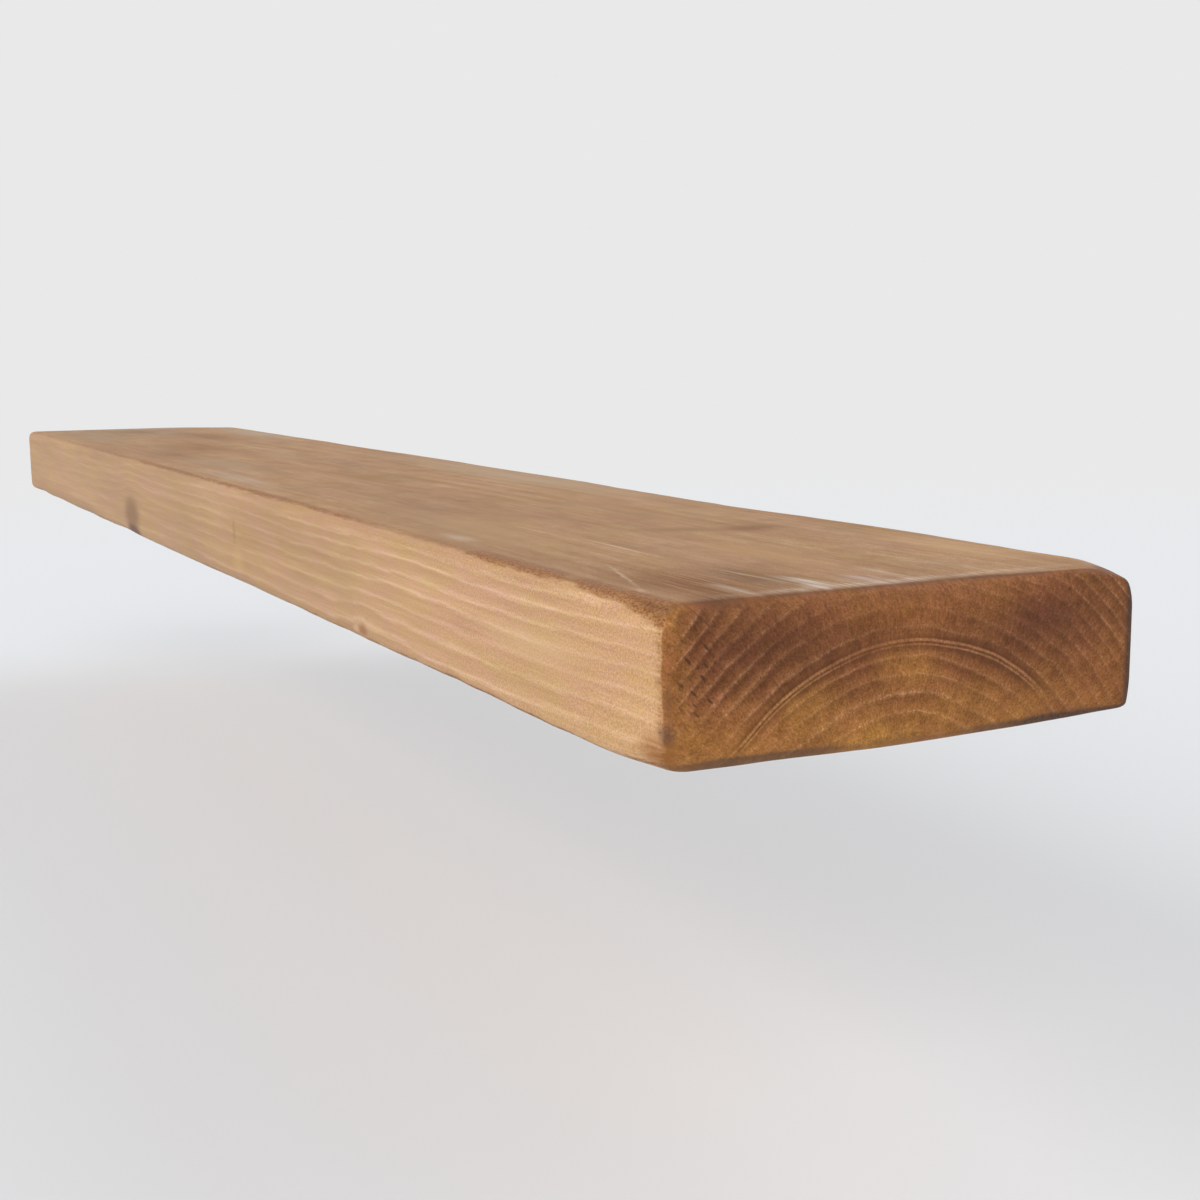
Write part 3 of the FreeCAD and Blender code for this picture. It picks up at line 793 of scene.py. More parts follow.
@dataclass(frozen=True)
class Knot:
    """A knot that the year rings bend round: its middle, and how far it pushes them."""

    centre: tuple[float, float, float]
    radius: float
    push: float


@dataclass(frozen=True)
class Spot:
    """A soft spot on the end of the board: its amount times exp(-d^2)."""

    amount: float
    centre: tuple[float, float]
    radii: tuple[float, float]

    def at(self, y: np.ndarray, z: np.ndarray) -> np.ndarray:
        """How strong it is at each place."""
        return self.amount * np.exp(-((y - self.centre[0]) / self.radii[0]) ** 2
                                    - ((z - self.centre[1]) / self.radii[1]) ** 2)


@dataclass(frozen=True)
class Grain:
    """Where the wood's year rings run inside the board, how worn its skin is, and how dark its
    rims are painted, partly as painted shade.

    The heart of the tree lies under the board, so the end shows arches. A point's reach is
    its distance from the heart line; the line drifts up and down along the board. A profile
    holds places and the values there, with straight lines between them.

    Attributes:
        heart_y: Where the heart line is, and heart_z its height.
        bend_radius: The radius at which an angle round the heart is measured as a length.
        rings: The radius of each year ring at the near end.
        drift: How high the heart line is along the board.
        knots: What the rings bend round.
        wear_from: How steep the front arris is where its wear starts, along the board.
        wear_strength: How strong that wear is, along the board.
        under_strength: The same of the lower arris.
        grime_line: How high the painted shade on the lower rim of the end reaches, along the end.
        grime_strength: How strong that painted shade is, along the end.
        face_lines: How strong the light ring lines are on the long sides, along the board.
        end_tones: Thin stain, above 0, and thick stain, below 0, on the end.
        end_lines: Where the ring lines of the end are stronger or weaker.
        noise: The slow noise that all of these waver by.
    """

    heart_y: float = -84.0
    heart_z: float = -60.0
    bend_radius: float = 85.0
    rings: tuple[float, ...] = (38.5, 43.5, 48.6, 54.2, 59.4, 63.8, 67.4, 71.8, 77.3, 81.7,
                                85.6, 89.5, 93.2, 97.1, 100.9, 104.7, 108.2, 111.8, 115.5,
                                119.2, 123, 126.8)
    drift: Profile = (
        (-500, -400, -300, -200, -126, -40, 40, 120, 204, 250, 300, 335, 372, 420, 444, 468,
         484, 500),
        (-9, -7.5, -8.5, -7, -6, -7.2, -6.4, -5.6, -5.1, -4.4, -2.9, -3.5, -4.1, -3.4, -2.3,
         -1.2, -0.5, 0))
    knots: tuple[Knot, ...] = (
        Knot((-126, -155, -13), 11, 6.0),
        Knot((275, -155, -17), 5, 2.4),
        Knot((360, -41, 22), 13, 5.0),
        Knot((214, -87, 22), 7, 2.0),
        Knot((-310, -60, 22), 10, 4.0),
        Knot((-240, 0, 4), 10, 4.0),
        Knot((180, -70, -22), 11, 5.0),
        Knot((-380, -110, -22), 9, 4.0),
    )
    wear_from: Profile = (
        (-500, 150, 300, 340, 372, 394, 425, 446, 458, 478, 487, 500),
        (0.95, 0.95, 0.92, 0.90, 0.84, 0.74, 0.72, 0.80, 0.68, 0.62, 0.55, 0.56))
    wear_strength: Profile = (
        (-500, -200, -90, 150, 230, 300, 366, 384, 430, 437, 442, 449, 480, 492),
        (0.1, 0.5, 1.0, 1.0, 0.8, 0.4, 0.4, 1, 1, 0.4, 0.4, 1, 1, 0.7))
    under_strength: Profile = (
        (-50, 120, 310, 345, 430, 455, 500), (0, 0.3, 0.3, 0.8, 0.8, 0.4, 0.5))
    # painted shade on the lower rim of the ends: how high it reaches and how strong it is
    grime_line: Profile = (
        (-155, -138, -110, -95, -70, -55, -35, 0),
        (-18.4, -17.1, -17.2, -18.2, -18.6, -17.8, -16.8, -16.9))
    grime_strength: Profile = (
        (-155, -138, -110, -95, -70, -55, -35, 0), (0.3, 0.8, 0.8, 0.35, 0.25, 0.7, 1.1, 1.0))
    face_lines: Profile = (
        (-500, -150, 150, 300, 470, 500), (0.12, 0.22, 0.45, 0.68, 0.62, 0.5))
    end_tones: tuple[Spot, ...] = (
        Spot(0.95, (-84, -30), (62, 20)),
        Spot(-0.82, (-124, 11), (20, 9)),
        Spot(-0.75, (-26, 10), (30, 13)),
        Spot(-0.2, (-84, 12), (50, 7)),
        Spot(-0.3, (-37, 11), (9, 5)),
        Spot(-0.25, (-58, 3), (12, 4)),
        Spot(0.25, (-140, -16), (18, 10)),
        Spot(0.3, (-86, 1), (18, 5)),
        Spot(0.2, (-75, -10), (12, 5)),
        Spot(0.2, (-116, -3), (9, 5)),
    )
    end_lines: tuple[Spot, ...] = (
        Spot(-0.85, (-78, 15), (42, 9)),
        Spot(-0.8, (-142, -16), (24, 12)),
        Spot(-0.6, (-14, -10), (24, 13)),
        Spot(0.45, (-130, 6), (24, 14)),
    )
    noise: LatticeNoise = LatticeNoise(3)

    def year_rings(self, points: np.ndarray) -> tuple[np.ndarray, np.ndarray, np.ndarray]:
        """Where points are among the year rings.

        reach is the distance from the heart line, plus slow noise and a push away from each
        knot that fades as exp(-d^2). rings is the number of rings passed, straight between
        the ring radii, which lie closer on the wall side of the heart. sweep is the arc
        length round the heart.

        Args:
            points: An (n, 3) array in millimetres.

        Returns:
            reach, rings and sweep, n values each.
        """
        x, y, z = points.T
        along = np.arange(-520.0, 521.0, 2.0)
        rough = np.interp(along, *self.drift)
        smooth = np.convolve(np.pad(rough, 8, mode="edge"), np.ones(17) / 17, "valid")
        rise = np.interp(x, along, smooth)
        shifted_z = z - self.heart_z - rise
        shifted_y = y - self.heart_y - 3.5 * self.noise.at(points, (260, 900, 900))
        reach = np.hypot(shifted_y, shifted_z)
        reach += 0.8 * self.noise.at(points, (90, 26, 26))
        reach += 0.35 * self.noise.at(points + 50, (34, 9, 9))
        for knot in self.knots:
            off = points - np.array(knot.centre)
            away = np.sum(off * off * [0.35, 1, 1], axis=1) / (1.7 * knot.radius) ** 2
            outward = (off[:, 1] * shifted_y + off[:, 2] * shifted_z) / reach
            reach -= knot.push * outward / knot.radius * np.exp(-away)
        lopsided = 2.0 * smooth_step(4, 24, shifted_y) * (1 - 0.5 * smooth_step(36, 60, shifted_y))
        lopsided *= 1 - 0.9 * np.exp(-((reach - 67.5) / 3.2) ** 2)
        rings = np.interp(reach + lopsided, self.rings, np.arange(len(self.rings)))
        return reach, rings, np.arctan2(shifted_y, shifted_z) * self.bend_radius

    def worn(self, points: np.ndarray, normals: np.ndarray, patchy: np.ndarray) -> np.ndarray:
        """How far the wax and stain are rubbed off the arrises, from 0 to 1.

        Along the front it runs in a thin line under the top, wider by the near end.

        Args:
            points: An (n, 3) array in millimetres.
            normals: The surface's directions there.
            patchy: Noise from 0 to 1 that breaks it up.

        Returns:
            n values.
        """
        x, y, z = points.T
        ny, nz = normals.T[1:]
        low = np.interp(x, *self.wear_from)
        reach_back = -146.5 + 2.0 * smooth_step(340, 370, x)
        wear = smooth_step(low - 0.28, low + 0.22, nz) * (ny < 0.2)
        wear *= np.interp(x, *self.wear_strength) * (1 - smooth_step(-149.5, reach_back, y))
        wear *= 0.85 + 0.3 * patchy
        near_corner = np.exp(-((x - 495) / 12) ** 2 - ((y + 150) / 7) ** 2) * (nz > 0.3)
        others = np.clip(np.abs(ny * nz) * 2, 0, 1) * ((nz < 0) | (ny > 0))
        wear += 0.55 * smooth_step(0.5, 0.9, others) * patchy + 0.48 * near_corner
        wear += (np.interp(x, *self.under_strength) * smooth_step(-0.45, -0.8, nz)
                 * (ny < -0.1))
        wear += 0.5 * smooth_step(490.5, 498.5, x) * (ny < -0.5) * smooth_step(-16, -8, z)
        return np.clip(wear, 0, 1)

    def darkened_rims(self, points: np.ndarray, normals: np.ndarray, over_edge: np.ndarray,
              end: np.ndarray, patchy: np.ndarray) -> np.ndarray:
        """How dark the rims of the ends are painted, from 0 to 1: painted shade along the lower
        rims and down the near end's back upright edge, and a dark line along the top and front
        rims.

        Args:
            points: An (n, 3) array in millimetres.
            normals: The surface's directions there.
            over_edge: How far the direction has turned past the end's edge.
            end: 1 on the ends, 0 on the long sides.
            patchy: Noise from 0 to 1 that breaks it up.

        Returns:
            n values.
        """
        x, y, z = points.T
        nx, ny, nz = normals.T
        # painted shade along the lower rim of each end, where the rounding turns down
        above = z - np.interp(y, *self.grime_line) + 0.7 * self.noise.at(points, (9, 7, 7))
        low_rim_shade = smooth_step(0, -1.4, above) * smooth_step(0.1, 0.25, np.abs(nx)) * (nz < 0)
        low_rim_shade *= np.interp(y, *self.grime_strength)
        # painted shade down the near end's back upright edge, by the wall
        back_upright_shade = smooth_step(-6.5, -4.6, y) * (end > 0.3) * (x > 0)
        top_rim = np.exp(-((over_edge - 0.1) / 0.16) ** 2) * (nz > 0.2) * (y > -152)
        top_rim *= 0.7 + 0.6 * self.noise.at(points, (7, 7, 7))
        front_upright = np.exp(-((over_edge - 0.15) / 0.2) ** 2) * (ny < -0.3) * patchy
        return np.clip(0.9 * low_rim_shade + 0.95 * back_upright_shade + 0.6 * top_rim * (0.5 + patchy)
                       + 0.3 * front_upright, 0, 1)

    def fields(self, points: np.ndarray, normals: np.ndarray) -> dict[str, np.ndarray]:
        """Works out what the wood's material reads at each point.

        end and top are 1 on the ends and on the top. tone is how thin the stain is, lines
        how strong the ring lines are, and tight how strong the end's double line is.

        Args:
            points: An (n, 3) array in millimetres.
            normals: The surface's directions at those points.

        Returns:
            Named arrays of n values.
        """
        x, y, z = points.T
        nx, ny, nz = normals.T
        reach, rings, sweep = self.year_rings(points)
        # the end's dark stain reaches right up the rounding on top, half way on the sides
        uprightness = ny ** 2 / np.maximum(ny ** 2 + nz ** 2, 1e-6)
        edge = 0.1 + 0.54 * uprightness + 0.05 * self.noise.at(points, (9, 6, 6))
        over_edge = np.abs(nx) - edge
        outermost = np.abs(x) + 0.8 * self.noise.at(points, (9, 5, 5))
        end = np.maximum(smooth_step(0, 0.1, over_edge),
                         smooth_step(497.3, 498.4, outermost) * (nz < 0.7))
        top = smooth_step(0.84, 0.96, nz)
        patchy = 0.5 + 0.5 * self.noise.at(points, (26, 7, 7))

        on_end = sum(spot.at(y, z) for spot in self.end_tones)
        on_end += 0.35 * np.exp(-((y + 152) / 5) ** 2)
        on_end += 0.3 * self.noise.at(points, (40, 16, 9))
        on_face = 0.15 * self.noise.at(points, (120, 30, 30)) + 0.14 * smooth_step(-240, -440, x)
        tone = np.where(end > 0.5, on_end, on_face)

        on_end = math.prod(1 + spot.at(y, z) for spot in self.end_lines)
        on_end *= 1 - 0.25 * np.exp(-((reach - 67.3) / 1.3) ** 2)
        on_end *= (1 - 0.1 * smooth_step(-64, -30, y)) * (1 - 0.1 * smooth_step(64, 58, reach))
        on_end *= smooth_step(-155, -149, y) * smooth_step(0.3, 0.9, np.abs(nx))
        on_face = np.interp(x, *self.face_lines) * (1 - 0.7 * top)
        lines = np.where(end > 0.5, on_end, on_face)

        tight = end * (1 - 0.95 * smooth_step(-5, -14, z) * (y > self.heart_y)
                       - 0.7 * smooth_step(-11, -18, z) * (y < self.heart_y)
                       - 0.4 * np.exp(-((y + 90) / 14) ** 2))
        return {"rings": rings, "reach": reach, "sweep": sweep, "lines": lines,
                "tight": tight, "end": end, "top": top, "tone": tone,
                "wear": self.worn(points, normals, patchy) * (1 - end),
                "grime": self.darkened_rims(points, normals, over_edge, end, patchy)}


class BracketPlace(Enum):
    """The three brackets, by their place along the wall."""

    LEFT = -340.0
    MIDDLE = 0.0
    RIGHT = 340.0


@dataclass
class Board:
    """The shelf board: planed, with hand-sanded arrises, recessed for the three plates and
    bored for the three rods.

    Sizes are in millimetres and are the solids' own. The rest is how the skin is worked out.

    Attributes:
        core: How far inside the skin the box is from which its points slide outwards.
        far_short: How much the far end is cut short.
        back_planed: How much is planed off the back at the near end.
        corner_softness: How far from a corner its three roundings start to blend.
        corner_power: How tightly they blend.
        plane_blend: The width over which a sanded plane runs out into the sides.
        wave: How deep the flats dip.
        small_wave: How deep the finer unevenness is.
        sanded_off: Planes at the corners, by a point on each and its direction.
        grain: The wood's year rings, wear and dirt.
    """

    length: float = 1000.0
    depth: float = 155.0
    thickness: float = 44.0
    front_arris: float = 6.6
    back_arris: float = 5.5
    end_top_arris: float = 8.6
    end_low_arris: float = 6.8
    far_low_arris: float = 6.5
    far_top_arris: float = 4.0
    upright_arris: float = 2.8
    core: float = 14.0
    recess: tuple[float, float, float] = (86.0, 28.0, 4.5)
    recess_corner: float = 9.0
    bore_diameter: float = 12.2
    bore_depth: float = 118.0
    bore_lead_in: float = 1.5
    drill_angle: float = 118.0
    far_short: float = 1.0
    back_planed: float = 2.2
    corner_softness: float = 5.0
    corner_power: float = 8.0
    plane_blend: float = 3.0
    wave: float = 0.42
    small_wave: float = 0.07
    sanded_off: tuple[tuple[tuple[float, ...], tuple[float, ...]], ...] = (
        ((500, -15.5, 21.2), (0.20, 0.28, 0.94)),
        ((500, -3.2, 14.5), (0.30, 0.88, 0.37)),
        ((500, -56, -22), (0.045, 0.055, -0.998)),
        ((500, -7.5, -20.8), (0.30, 0.42, -0.857)),
        ((-500, 0, 20), (-0.06, 0.05, 0.997)),
        ((500, -150, -15), (0.55, -0.40, -0.733)),
    )
    grain: Grain = Grain()

    def grid_places(self) -> tuple[np.ndarray, np.ndarray, np.ndarray]:
        """Where the grid planes are along each axis: fine by the arrises and the near end."""
        # steps of angle round an arris from its middle, closest there, to the flat
        steps = np.radians(np.concatenate([np.linspace(45, 36.5, 8), np.linspace(34, 0, 9)]))
        turn = self.core * (1 - np.tan(steps))
        half = self.length / 2
        xs = np.unique(np.round(np.concatenate([
            -half + turn, half - turn,
            np.arange(-half + self.core, 100, 6.0), np.arange(100, 300, 4.0),
            np.arange(300, 440, 2.5), np.arange(440, half - self.core, 1.6)]), 4))
        ys = np.unique(np.round(np.concatenate([
            -self.depth + turn, -turn,
            np.linspace(-self.depth + self.core, -self.core, 44)]), 4))
        half = self.thickness / 2
        zs = np.unique(np.round(np.concatenate([
            -half + turn, half - turn, np.linspace(self.core - half, half - self.core, 8)]), 4))
        return xs, ys, zs

    def outside(self, points: np.ndarray) -> np.ndarray:
        """How far points lie outside the sanded board, less than 0 inside.

        Each pair of axes gives a rectangle with its own corner radius; the three distances
        are joined by a power mean, so that roundings meet in a soft ball and flat sides stay
        where they are. Planes take off the corners that were sanded most, and noise lets the
        sides wave.

        Args:
            points: An (n, 3) array in millimetres.

        Returns:
            n distances.
        """
        x, y, z = points.T
        hand = LatticeNoise(11)
        # the far end is a little short, and the back is planed off by the near end
        to_x = np.abs(x) - self.length / 2 + np.where(x < 0, self.far_short, 0.0)
        planed = self.back_planed * smooth_step(400, 500, x)
        to_y = np.maximum(y + planed, -self.depth - y)
        to_z = np.abs(z) - self.thickness / 2
        # sanded by hand, so the radius wavers along each arris
        fine = 0.02 + 0.08 * smooth_step(0, 350, x)
        uneven = 1 + 0.22 * hand.at(points, (38, 30, 60)) + fine * hand.at(points, (12, 11, 60))
        # long arrises widen at the near end, the back one of the top near x = 270 as well
        near = smooth_step(self.length / 2 - 34, self.length / 2, x)
        along = np.where(y < -self.depth / 2,
                         self.front_arris + np.where(z > 0, 1.0, 3.6) * near, self.back_arris)
        along = along + 5.0 * (y > -self.depth / 2) * np.exp(-((x - 270) / 85) ** 2) * (z > 0)
        # the near end's top arris narrows by the wall, its lower one widens by the front
        front = smooth_step(-self.depth / 2, -self.depth, y)
        by_wall = smooth_step(-60, -8, y)
        ends = np.where(x > 0, np.where(z > 0, self.end_top_arris - 4.6 * by_wall,
                                        self.end_low_arris + 2.8 * front),
                        np.where(z > 0, self.far_top_arris + 1.0, self.far_low_arris + 0.5))
        upright = self.upright_arris + np.where(
            x > 0, 2.6 * smooth_step(10, 22, -z), 2.0 + 1.2 * smooth_step(10, 22, -z))

        def rounded(a: np.ndarray, b: np.ndarray, radius: np.ndarray) -> np.ndarray:
            """Distance outside a corner between two sides."""
            radius = radius * uneven
            return (np.hypot(np.maximum(a + radius, 0), np.maximum(b + radius, 0))
                    + np.minimum(np.maximum(a + radius, b + radius), 0) - radius)

        soft, power = self.corner_softness, self.corner_power
        parts = (rounded(to_y, to_z, along), rounded(to_x, to_z, ends),
                 rounded(to_x, to_y, upright))
        total = sum(np.maximum(part + soft, 0) ** power for part in parts)
        away = total ** (1 / power) - soft * 2 ** (1 / power)
        for origin, normal in self.sanded_off:
            plane = (points - np.array(origin)) @ np.array(normal)
            blend = np.clip(0.5 + (away - plane) / self.plane_blend, 0, 1)
            away = (plane + (away - plane) * blend
                    + self.plane_blend / 2 * blend * (1 - blend))
        flat = smooth_step(0, 18, -y)
        wave = 0.5 + 0.5 * hand.at(points + 30, (70, 55, 55))
        small = 0.5 + 0.5 * hand.at(points + 90, (16, 12, 12))
        return away + flat * (self.wave * wave + self.small_wave * small) + 0.02

    def skin(self) -> tuple[np.ndarray, np.ndarray]:
        """The board's outer surface.

        Each point of a box grid slides along the line from the nearest point of an inner
        core box until outside() is 0, found by halving the range thirty times.

        Returns:
            Points and quads.
        """
        xs, ys, zs = self.grid_places()
        shell, quads = box_shell(xs, ys, zs)
        low = np.array([-self.length / 2, -self.depth, -self.thickness / 2]) + self.core
        high = np.array([self.length / 2, 0, self.thickness / 2]) - self.core
        inner = np.clip(shell, low, high)
        near, far = np.zeros(len(shell)), np.ones(len(shell))
        for _ in range(30):
            middle = (near + far) / 2
            out = self.outside(inner + middle[:, None] * (shell - inner)) > 0
            near, far = np.where(out, near, middle), np.where(out, middle, far)
        return inner + near[:, None] * (shell - inner), quads

    def cutter(self, name: str, rows: np.ndarray, first_y: float,
               last_y: float) -> bpy.types.Object:
        """Repeats a closed stack of rings at the place of each bracket.

        Args:
            name: The cutter's name.
            rows: The rings about x = 0, as turned_skin takes them.
            first_y: Where the point is that closes the first ring.
            last_y: Where the point is that closes the last ring.

        Returns:
            The cutter, as one piece.
        """
        points, faces = [], []
        for number, place in enumerate(BracketPlace):
            first, last = np.array([[place.value, y, 0.0] for y in (first_y, last_y)])
            part, skin = turned_skin(rows + [place.value, 0.0, 0.0], first, last)
            faces += [[corner + number * len(part) for corner in face] for face in skin]
            points.append(part)
        return new_piece(name, np.concatenate(points), faces)

    def recess_cutter(self) -> bpy.types.Object:
        """Three rounded slabs, as a rounded-rectangle outline carried along Y."""
        long, high, deep = self.recess
        outside_y, count = 6.0, 48
        angle = np.linspace(0, 2 * math.pi, count, endpoint=False)
        outline = np.stack([np.cos(angle), np.sin(angle)], 1) * self.recess_corner
        outline += np.sign(outline + 1e-9) * [long / 2 - self.recess_corner,
                                              high / 2 - self.recess_corner]
        rows = np.stack([np.stack([outline[:, 0], np.full(count, y), outline[:, 1]], 1)
                         for y in (-deep, outside_y)])
        return self.cutter("recess_cutter", rows, -deep, outside_y)

    def bore_cutter(self) -> bpy.types.Object:
        """Three drilled holes with a chamfered mouth, as a profile turned about Y."""
        radius, floor, count = self.bore_diameter / 2, -self.recess[2], 40
        mouth = radius + self.bore_lead_in
        point = radius / math.tan(math.radians(self.drill_angle / 2))
        profile = ((-self.bore_depth, radius), (floor - self.bore_lead_in, radius),
                   (floor, mouth), (floor + 1.0, mouth))
        angle = np.linspace(0, 2 * math.pi, count, endpoint=False)
        rows = np.stack([np.stack([r * np.cos(angle), np.full(count, y), r * np.sin(angle)], 1)
                         for y, r in profile])
        return self.cutter("bore_cutter", rows, -self.bore_depth - point, floor + 1.0)

    def build(self) -> bpy.types.Object:
        """Makes the board's mesh, cuts it and gives it its fields.

        Returns:
            The board piece, not yet dressed.
        """
        points, quads = self.skin()
        piece = new_piece("sanded_board", points, quads)
        cut_away(piece, self.recess_cutter())
        cut_away(piece, self.bore_cutter())
        mesh = piece.data
        mesh.shade_smooth()
        mesh.set_sharp_from_angle(angle=math.radians(40))
        count = len(mesh.vertices)
        places, normals = np.empty(count * 3), np.empty(count * 3)
        mesh.vertices.foreach_get("co", places)
        mesh.vertex_normals.foreach_get("vector", normals)
        values = self.grain.fields(places.reshape(-1, 3) / MM, normals.reshape(-1, 3))
        for name, value in values.items():
            layer = mesh.attributes.new(name, "FLOAT", "POINT")
            layer.data.foreach_set("value", value.astype(np.float32))
        return piece

    def dress(self, piece: bpy.types.Object, stained: bpy.types.Material,
              raw: bpy.types.Material) -> None:
        """Gives the outside its stain and the cut faces raw wood, and joins the shelf body.

        Args:
            piece: The board.
            stained: The outside's material.
            raw: The recesses' and bores' material.
        """
        mesh = piece.data
        mesh.materials.clear()
        mesh.materials.append(stained)
        mesh.materials.append(raw)
        centres = np.empty(len(mesh.polygons) * 3)
        mesh.polygons.foreach_get("center", centres)
        x, y, z = centres.reshape(-1, 3).T / MM
        long, high, _ = self.recess
        inside = np.zeros(len(x), bool)
        for place in BracketPlace:
            inside |= ((np.abs(x - place.value) < long / 2 + 0.1)
                       & (np.abs(z) < high / 2 + 0.1) & (y < -0.3) & (y > -self.depth + 5))
        mesh.polygons.foreach_set("material_index", inside.astype(np.int32))
        mesh.update()
        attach(piece, "shelf")
        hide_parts("shelf_board")


# ---------------------------------------------------------------- the brackets


class Side(Enum):
    """The two screws of a bracket, by their place beside its rod."""

    LEFT = -30.0
    RIGHT = 30.0


@dataclass
class Screw:
    """A countersunk wood screw with a cross recess and a rolled thread.

    Sizes are in millimetres and are the solids' own, apart from the thread's. wall is how far
    the cross recess's walls slope in, and tooth the part of the pitch that a thread takes.
    """

    middle: float
    length: float = 50.0
    head_front: float = -4.0
    head_radius: float = 5.0
    head_land: float = 0.3
    crest_radius: float = 2.2
    root_radius: float = 1.7
    pitch: float = 2.2
    tooth: float = 0.62
    plain_length: float = 9.0
    point_length: float = 6.0
    point_radius: float = 0.4
    cross_reach: float = 2.7
    cross_width: float = 1.3
    cross_depth: float = 2.4
    wall: tuple[float, float] = (1.5, 0.3)
    step: float = 0.3
    around: int = 48

    def build(self, name: str) -> bpy.types.Object:
        """Turns the screw about Y as one closed skin.

        The head's front dips by the cross recess: two arms whose walls slope inwards. On the
        shank the radius is root + (crest - root) * ridge, where the ridge is a triangle wave
        of y / pitch + angle / 2pi, so that it climbs as a helix.

        Args:
            name: The piece's name.

        Returns:
            The screw piece.
        """
        turn = np.linspace(0, 2 * math.pi, self.around, endpoint=False)
        # fine rings where the cross is, then a few out to the head's sharp rim
        face_radii = np.concatenate([np.linspace(0.25, 3.1, 16), [3.8, 4.5, 4.85]])
        rim = np.full(2, self.head_radius)
        cone = np.linspace(self.head_radius, self.crest_radius, 6)[1:]
        under = self.head_front + self.head_land
        cone_y = under + self.head_radius - cone
        tip = self.head_front + self.length
        shank_y = np.arange(cone_y[-1] + 0.35, tip - 0.1, self.step)
        radius = np.concatenate([face_radii, rim, cone])[:, None] * np.ones(self.around)
        y = np.concatenate([np.full(len(face_radii), self.head_front),
                            [self.head_front + 0.08, under], cone_y])[:, None]
        y = y * np.ones(self.around)
        side_x, side_z = radius * np.cos(turn), radius * np.sin(turn)
        long = np.maximum(np.abs(side_x), np.abs(side_z))
        across = np.minimum(np.abs(side_x), np.abs(side_z))
        dip = (np.clip((self.cross_reach - long) / self.wall[0], 0, 1)
               * np.clip((self.cross_width / 2 - across) / self.wall[1], 0, 1))
        dip[len(face_radii):] = 0
        y = y + self.cross_depth * dip
        slant = shank_y[:, None] * np.ones(self.around)
        climb = slant / self.pitch - turn / (2 * math.pi)
        ridge = np.clip(1 - np.abs(2 * (climb - np.floor(climb)) - 1) / self.tooth, 0, 1)
        plain_end = cone_y[-1] + self.plain_length
        ridge *= smooth_step(plain_end, plain_end + 2, slant)
        shank = self.root_radius + (self.crest_radius - self.root_radius) * ridge
        taper = np.clip((tip - slant) / self.point_length, 0, 1)
        narrow = self.point_radius / self.crest_radius
        shank = shank * (narrow + (1 - narrow) * taper ** 0.8)
        radius = np.concatenate([radius, shank])
        y = np.concatenate([y, slant])
        rows = np.stack([self.middle + radius * np.cos(turn), y, radius * np.sin(turn)], -1)
        deepest = self.head_front + self.cross_depth
        points, faces = turned_skin(rows, np.array([self.middle, deepest, 0.0]),
                                    np.array([self.middle, tip, 0.0]))
        piece = new_piece(name, points, faces)
        piece.data.set_sharp_from_angle(angle=math.radians(50))
        return piece


@dataclass
class Bracket:
    """One hidden bracket: a pressed plate with a riveted rod, two screws and two plugs."""

    place: BracketPlace

    @property
    def name(self) -> str:
        """The start of its pieces' names."""
        return f"{self.place.name.lower()}_bracket"

    def dress(self, nodes: Mapping[str, bpy.types.Object],
              finishes: Mapping[str, bpy.types.Material]) -> list[str]:
        """Finishes the plate, rod and plugs, and puts threaded screws in.

        Args:
            nodes: The solids' objects by name.
            finishes: The materials by the record's slot names.

        Returns:
            The names of the pieces that were dressed.
        """
        done = []
        for part, slot in (("plate", "zinc_plated_steel"), ("rod", "zinc_plated_steel"),
                           ("left_plug", "grey_nylon"), ("right_plug", "grey_nylon")):
            node = nodes[f"{self.name}_{part}"]
            node.data.materials.clear()
            node.data.materials.append(finishes[f"{part}_steel" if "steel" in slot else slot])
            done.append(node.name)
        for side in Side:
            node_name = f"{self.name}_{side.name.lower()}_screw"
            screw = Screw(self.place.value + side.value).build(f"threaded_{node_name}")
            screw.data.materials.append(finishes["yellow_passivated_steel"])
            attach(screw, "brackets")
            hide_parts(node_name)
            done.append(screw.name)
        return done


# ---------------------------------------------------------------- the studio


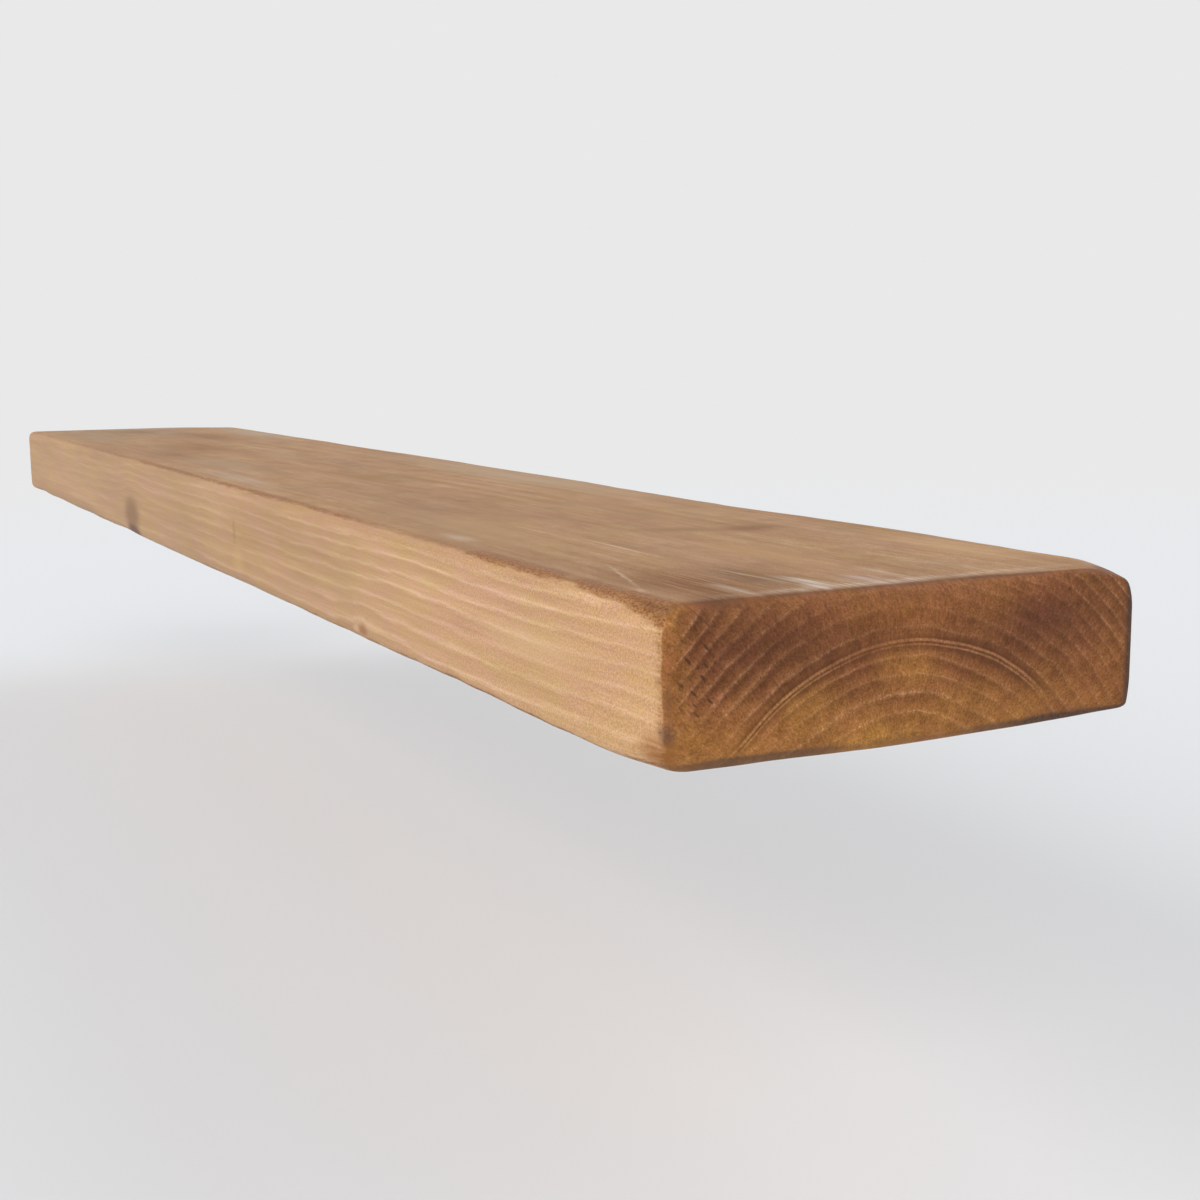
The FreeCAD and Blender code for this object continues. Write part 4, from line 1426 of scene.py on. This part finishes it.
@dataclass
class Studio:
    """A pale floor, soft lamps and a pale background that lamps don't light.

    Attributes:
        floor_height: Where the floor is, in millimetres, under the shelf's own underside.
        floor_half: Half the floor's width.
        fade: How far from the middle the floor starts and ends to fade.
        paint: The floor's colour, and backdrop the background's.
        sky: How strongly the air lights the shelf.
    """

    floor_height: float = -172.0
    floor_half: float = 9000.0
    fade: tuple[float, float] = (1100.0, 2600.0)
    paint: str = "E9EBEE"
    backdrop: str = "E9E9E9"
    sky: float = 0.52

    def hidden_from_lamps(self, tree: bpy.types.NodeTree) -> bpy.types.NodeSocket:
        """1 for rays from the camera, mirrors and glass, and 0 for those that light things."""
        put = functools.partial(add_node, tree)
        rays = put("LightPath", out=None)
        seen: Any = rays.outputs["Is Camera Ray"]
        for kind in ("Is Glossy Ray", "Is Transmission Ray"):
            seen = put("Math", {0: seen, 1: rays.outputs[kind]}, operation="MAXIMUM")
        return seen

    def build(self) -> None:
        """Makes the world, the floor and the lamps."""
        world = bpy.data.worlds.new("studio_air")
        bpy.context.scene.world = world
        world.use_nodes = True
        tree = world.node_tree
        tree.nodes.clear()
        put = functools.partial(add_node, tree)
        soft = put("Background", {"Color": linear("FFFFFF"), "Strength": self.sky})
        pale = put("Background", {"Color": linear(self.backdrop), "Strength": 1.0})
        both = put("MixShader", {0: self.hidden_from_lamps(tree), 1: soft, 2: pale})
        put("OutputWorld", {"Surface": both}, out=None)

        half = self.floor_half
        corners = np.array([(-half, -half), (half, -half), (half, half), (-half, half)])
        points = np.column_stack([corners, np.full(4, self.floor_height)])
        floor = new_piece("studio_floor", points, [[0, 1, 2, 3]])
        # matt paint that fades into the backdrop far from the shelf
        material, tree = new_material("painted_floor")
        put = functools.partial(add_node, tree)
        far = put("VectorMath", {0: millimetres(tree)}, "Value", operation="LENGTH")
        fade = put("MapRange", {"Value": far, "From Min": self.fade[0],
                                "From Max": self.fade[1]}, interpolation_type="SMOOTHSTEP")
        fade = put("Math", {0: fade, 1: self.hidden_from_lamps(tree)}, operation="MULTIPLY")
        matt = put("BsdfDiffuse", {"Color": linear(self.paint)})
        glow = put("Emission", {"Color": linear(self.backdrop), "Strength": 1.0})
        both = put("MixShader", {0: fade, 1: matt, 2: glow})
        put("OutputMaterial", {"Surface": both}, out=None)
        floor.data.materials.append(material)

        for name, toward, level, spread in (
                ("key_lamp", (-0.18, -0.86, 0.48), 1.28, 34),
                ("side_lamp", (0.80, -0.42, 0.42), 0.95, 50),
                ("back_lamp", (0.15, 0.78, 0.60), 0.75, 60)):
            lamp = bpy.data.lights.new(name, "SUN")
            lamp.energy, lamp.angle = level, math.radians(spread)
            thing = bpy.data.objects.new(name, lamp)
            thing.rotation_euler = Vector(toward).to_track_quat("Z", "Y").to_euler()
            bpy.context.scene.collection.objects.link(thing)
        bpy.context.scene.view_settings.view_transform = "Standard"


@dataclass
class Viewpoint:
    """The camera, by the shelf's near end and a little above it.

    Attributes:
        place: Where it is, in millimetres.
        yaw: Its turn to the left of +Y, in degrees.
        pitch: How far it looks down, in degrees.
        roll: Its tilt, in degrees.
        reach: Its focal length in pixels of a frame of frame_width pixels.
        frame_width: The width that reach is given for.
        sensor: Its sensor's width, in millimetres.
    """

    place: tuple[float, float, float] = (843.9, -348.6, 85.1)
    yaw: float = 62.89
    pitch: float = 8.79
    roll: float = -0.5
    reach: float = 1659.1
    frame_width: float = 1200.0
    sensor: float = 36.0

    def build(self) -> None:
        """Makes the camera and turns it so that it looks along -Z of its own axes."""
        yaw, pitch, roll = (math.radians(a) for a in (self.yaw, self.pitch, self.roll))
        ahead = Vector((-math.sin(yaw) * math.cos(pitch), math.cos(yaw) * math.cos(pitch),
                        -math.sin(pitch)))
        right = Vector((math.cos(yaw), math.sin(yaw), 0.0))
        up = right.cross(ahead)
        across = math.cos(roll) * right + math.sin(roll) * up
        above = -math.sin(roll) * right + math.cos(roll) * up
        lens = bpy.data.cameras.new("camera")
        lens.sensor_width = self.sensor
        lens.lens = self.reach / self.frame_width * self.sensor
        lens.clip_start, lens.clip_end = 0.01, 50.0
        camera = bpy.data.objects.new("camera", lens)
        turn = Matrix((across, above, -ahead)).transposed().to_4x4()
        camera.matrix_world = Matrix.Translation(Vector(self.place) * MM) @ turn
        bpy.context.scene.collection.objects.link(camera)
        bpy.context.scene.camera = camera


# ---------------------------------------------------------------- making it


def main() -> None:
    """Builds and dresses the sub-assemblies in order."""
    logging.basicConfig(level=logging.INFO, format="%(name)s: %(message)s")
    finishes = {
        "stained_softwood": StainedSoftwood().build(),
        "raw_softwood": RawSoftwood().build(),
        # rolled strip, blanked and barrel plated
        "plate_steel": PlatedSteel(base="C4C8CB", tint="A9AFB5", roughness=0.34, mottle=5.0,
                                   line=(30.0, 30.0, 0.4)).build("zinc_plated_strip"),
        # drawn bar with fine rings from the lathe
        "rod_steel": PlatedSteel(base="C8CBCD", tint="AEB3B8", roughness=0.28, mottle=8.0,
                                 line=(12.0, 0.35, 12.0)).build("zinc_plated_bar"),
        "yellow_passivated_steel": PlatedSteel(
            base="D9B45C", tint="B9A05F", roughness=0.3, mottle=1.6,
            line=(0.8, 0.8, 0.8)).build("yellow_passivated_steel"),
        "grey_nylon": GreyNylon().build(),
    }
    board = Board()
    piece = board.build()
    board.dress(piece, finishes["stained_softwood"], finishes["raw_softwood"])
    LOG.info("%s: %d faces", piece.name, len(piece.data.polygons))
    for place in BracketPlace:
        for name in Bracket(place).dress(frame["nodes"], finishes):
            LOG.info("%s", name)
    Studio().build()
    Viewpoint().build()


if __name__ == "__main__":
    main()
